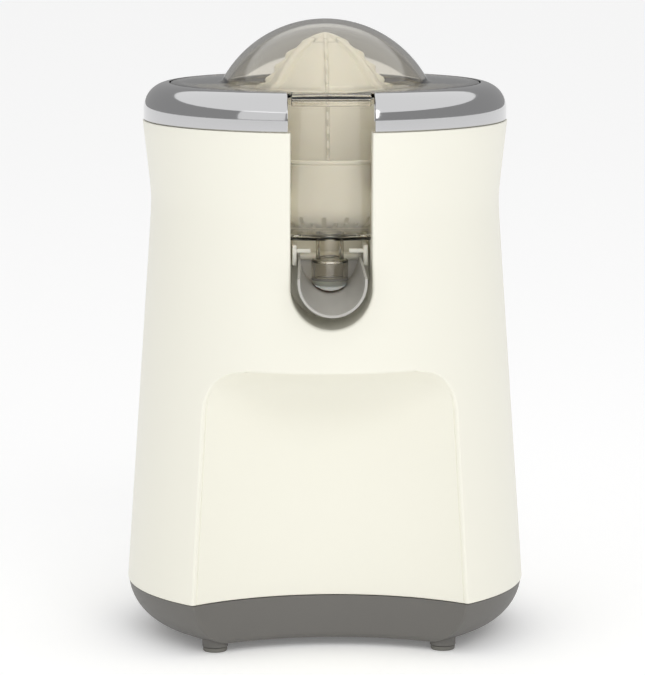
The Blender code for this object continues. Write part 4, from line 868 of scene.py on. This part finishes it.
class PRESS_OT_cone(bpy.types.Operator):
    """Lofts the reamer cone with its thick and scalloped ribs"""

    bl_idname = "press.cone"
    bl_label = "Reamer cone"

    def execute(self, context):
        low, high = cone_box
        tall = high.z - low.z
        wide = high.x
        ribs = [(0.0, False), (52.5, True), (90.0, False), (127.5, True), (180.0, False), (232.5, True), (270.0, False), (307.5, True)]

        def envelope(share):
            return wide * max(0.0, 1 - share * share) ** 0.60

        def skin(share):
            return envelope(share) - min(0.0042, 0.45 * envelope(share))

        def row(share):
            base = skin(share)
            over = envelope(share) - base
            points = []
            for index, (angle, thick) in enumerate(ribs):
                width = min(0.0021 if thick else 0.0010, 0.33 * base)
                turn = math.asin(width / base)
                wave = 1.0 if thick else 0.55 + 0.25 * math.cos(2 * math.pi * share * tall / 0.0062)
                for step in range(-4, 5):
                    across = step / 4
                    reach = base + over * wave * math.sqrt(max(0.0, 1 - across * across))
                    points.append((math.radians(angle) + turn * across, reach))
                following, thick_next = ribs[(index + 1) % len(ribs)]
                width = min(0.0021 if thick_next else 0.0010, 0.33 * base)
                start = math.radians(angle) + turn
                end = math.radians(following + (360 if following <= angle else 0)) - math.asin(width / base)
                for step in range(1, 9):
                    points.append((start + (end - start) * step / 9, base))
            height = low.z + share * tall
            return [(reach * math.sin(way), -reach * math.cos(way), height) for way, reach in points]

        shares = [math.sin(math.pi / 2 * at / 60) for at in range(60)]
        cone = tool(lofted([row(share) for share in shares] + [[(x * 0.2, y * 0.2, high.z) for x, y, z in row(shares[-1])]]))
        bore = skin(0.0) - 0.0024
        hollow = [(0.0, high.z - 0.014), (0.0, low.z - 0.001), (bore, low.z - 0.001)]
        for step in range(1, 13):
            share = step / 15
            hollow.append((skin(share) - 0.0024, low.z + share * tall))
        room = tool(spun(hollow, False, 96))
        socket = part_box("cone_socket")
        boss = socket[1].x + 0.0027
        carve(room, tool(rod(boss, low.z + 0.0018, high.z, 48)))
        carve(cone, room)
        carve(cone, tool(rod(socket[1].x + 0.0003, low.z - 0.01, socket[1].z + 0.0003, 48)))
        cone.name = "cone_ribbed"
        settle(cone, natural_pp(), "cone", ["reamer_cone"])
        return {"FINISHED"}


# Spout


def lip_section(half, bottom, top, steps=24):
    """The trough's rounded U, from one top corner to the other, as (x, z)."""
    return [(half, top)] + arc((0.0, bottom + half), half, 0, -180, steps) + [(-half, top)]


def lip_rows(inside):
    """The trough's rows from the hinge to the tip: level, then down a slope in front of the crest."""
    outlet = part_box("outlet_gasket")[0].z
    floor = outlet - 0.0045
    tip = -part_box("spout_lip")[0].y + (0.004 if inside else 0.0)
    crest = 0.0700
    wall = 0.0012
    inset = wall if inside else 0.0
    raised = 0.01 if inside else 0.0
    rim = floor + 0.0150
    rows = []
    reaches = [0.0495 + inset, 0.0600, crest - 0.0030, crest - 0.0010, crest + 0.0010, crest + 0.0040]
    reaches += [crest + 0.0040 + (tip - crest - 0.0040) * at / 8 for at in range(1, 9)]
    for reach in reaches:
        over = soft_step(reach - crest, 0.0050)
        share = min(1.0, over / (0.0973 - crest))
        half = 0.0150 + 0.0012 * share - inset
        drop = over * math.tan(math.radians(16.0))
        top = rim - 0.0060 * share + raised
        bottom = floor - wall - drop + inset
        rows.append([(x, -reach, z) for x, z in lip_section(half, bottom, max(top, bottom + half))])
    return rows


class PRESS_OT_spout(bpy.types.Operator):
    """Makes the hinge bar with its ears, and the drip lip"""

    bl_idname = "press.spout"
    bl_label = "Spout"

    def execute(self, context):
        yoke_low, yoke_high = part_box("spout_yoke")
        hinge_y = -0.0515
        hinge_z = 0.1903
        half = yoke_high.x
        plate = 0.0021
        bar = spun([(0.0, -half + 0.001), (0.00175, -half + 0.001), (0.00175, half - 0.001), (0.0, half - 0.001)], False, 32)
        turn = Matrix.Translation((0.0, hinge_y, hinge_z)) @ Matrix.Rotation(math.pi / 2, 4, "Y")
        bmesh.ops.transform(bar, matrix=turn, verts=bar.verts[:])
        yoke = tool(bar)
        for side in (-1, 1):
            near, far = sorted((side * (half - plate), side * half))
            ear = block((near, yoke_low.y, yoke_low.z), (far, yoke_high.y, yoke_high.z), 0.0006)
            carve(yoke, tool(ear), "UNION")
            near, far = sorted((side * 0.0090, side * (half - plate + 0.0005)))
            stub = block((near, -0.0640, hinge_z + 0.0030), (far, -0.0620, hinge_z + 0.0050), 0.0005)
            carve(yoke, tool(stub), "UNION")
        yoke.name = "hinge_bar"
        settle(yoke, natural_pp(), "bowl", ["spout_yoke"])

        lip = tool(lofted(lip_rows(False)))
        carve(lip, tool(lofted(lip_rows(True))))
        ears = bmesh.new()
        for side in (-1, 1):
            near, far = sorted((side * 0.0138, side * 0.0150))
            block((near, hinge_y - 0.0050, hinge_z - 0.0048), (far, hinge_y + 0.0020, hinge_z + 0.0030), 0.0, 0.0, ears)
        carve(lip, tool(ears), "UNION")
        hole = spun([(0.0, -0.03), (0.00205, -0.03), (0.00205, 0.03), (0.0, 0.03)], False, 32)
        bmesh.ops.transform(hole, matrix=turn, verts=hole.verts[:])
        carve(lip, tool(hole))
        lip.name = "drip_lip"
        settle(lip, silver_abs(), "spout", ["spout_lip"])
        return {"FINISHED"}


# Carried-over pieces


class PRESS_OT_finishes(bpy.types.Operator):
    """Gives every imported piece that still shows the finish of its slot"""

    bl_idname = "press.finishes"
    bl_label = "Finishes of the inner pieces"

    def execute(self, context):
        for name, node in frame["nodes"].items():
            if node.hide_render:
                continue
            node.data.materials.clear()
            node.data.materials.append(FINISHES[slot_of(name)]())
        return {"FINISHED"}


def slot_of(name):
    """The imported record's material slot of a node."""
    for part in frame["record"]["subparts"]:
        if part["node"] == name:
            return part["material_slot"]
    raise RuntimeError(f"no material slot holds {name}")


# Stage


class PRESS_OT_stage(bpy.types.Operator):
    """Sets the camera, the floor and the soft lights"""

    bl_idname = "press.stage"
    bl_label = "Stage"

    def execute(self, context):
        stage = context.scene.press_stage
        camera = bpy.data.objects.new("camera", bpy.data.cameras.new("camera"))
        context.scene.collection.objects.link(camera)
        camera.data.lens = stage.lens
        camera.data.sensor_width = 36.0
        camera.data.clip_end = 100.0
        ahead = Vector((-math.sin(stage.azimuth), math.cos(stage.azimuth), 0.0))
        right = Vector((ahead.y, -ahead.x, 0.0))
        place = -ahead * stage.distance + Vector((0.0, 0.0, stage.height))
        target = Vector((0.0, 0.0, stage.height - stage.distance * math.tan(stage.pitch))) - right * 0.0012
        aim = (target - place).to_track_quat("-Z", "Y")
        camera.matrix_world = Matrix.Translation(place) @ aim.to_matrix().to_4x4()
        context.scene.camera = camera

        floor = bmesh.new()
        bmesh.ops.create_grid(floor, x_segments=8, y_segments=8, size=20.0)
        # Matt painted board: pale and even, lit a little from below as a light table is.
        paint = surface("board_matt", stage.floor, 0.004, (0.85, 0.95), 60.0, 0.0,
                        emission_color=linear("#ffffff"), emission_strength=0.14)
        board = finish_piece("floor", floor, paint)

        world = bpy.data.worlds.new("room")
        context.scene.world = world
        world.use_nodes = True
        sky = world.node_tree.nodes["Background"]
        sky.inputs["Color"].default_value = linear("#fbfbfb")
        sky.inputs["Strength"].default_value = 0.36
        lamps = (
            ("key", (0.55, -2.3, 1.35), 1.7, 17.0),
            ("fill", (-1.7, -1.9, 1.0), 1.5, 4.0),
        )
        for name, spot, wide, power in lamps:
            lamp = bpy.data.objects.new(name, bpy.data.lights.new(name, "AREA"))
            context.scene.collection.objects.link(lamp)
            lamp.data.size = wide
            lamp.data.energy = power
            spot = Vector(spot)
            aim = (Vector((0.0, 0.0, 0.15)) - spot).to_track_quat("-Z", "Y")
            lamp.matrix_world = Matrix.Translation(spot) @ aim.to_matrix().to_4x4()
        # A broad even glow from above keeps the whole floor pale.
        glow = bpy.data.objects.new("glow", bpy.data.lights.new("glow", "SUN"))
        context.scene.collection.objects.link(glow)
        glow.data.energy = 1.5
        glow.data.angle = math.radians(120)
        context.scene.view_settings.view_transform = "Standard"
        return {"FINISHED"}


class PRESS_PT_panel(bpy.types.Panel):
    bl_label = "Citrus press"
    bl_idname = "PRESS_PT_panel"
    bl_space_type = "VIEW_3D"
    bl_region_type = "UI"
    bl_category = "Press"

    def draw(self, context):
        for group in (context.scene.press_sizes, context.scene.press_colours, context.scene.press_stage):
            box = self.layout.box()
            for name in group.__annotations__:
                box.prop(group, name)
        for maker in MAKERS:
            self.layout.operator(maker.bl_idname)


MAKERS = (
    PRESS_OT_stage,
    PRESS_OT_housing,
    PRESS_OT_ring,
    PRESS_OT_base,
    PRESS_OT_feet,
    PRESS_OT_lid,
    PRESS_OT_bowl,
    PRESS_OT_strainer,
    PRESS_OT_cone,
    PRESS_OT_spout,
    PRESS_OT_finishes,
)
GROUPS = {"press_sizes": PressSizes, "press_colours": PressColours, "press_stage": PressStage}


def register():
    for group in GROUPS.values():
        bpy.utils.register_class(group)
    for name, group in GROUPS.items():
        setattr(bpy.types.Scene, name, bpy.props.PointerProperty(type=group))
    for maker in (*MAKERS, PRESS_PT_panel):
        bpy.utils.register_class(maker)


def unregister():
    for maker in (PRESS_PT_panel, *reversed(MAKERS)):
        bpy.utils.unregister_class(maker)
    for name in GROUPS:
        delattr(bpy.types.Scene, name)
    for group in reversed(list(GROUPS.values())):
        bpy.utils.unregister_class(group)


def main():
    register()
    for maker in MAKERS:
        group, name = maker.bl_idname.split(".")
        getattr(getattr(bpy.ops, group), name)()


if __name__ == "__main__":
    main()
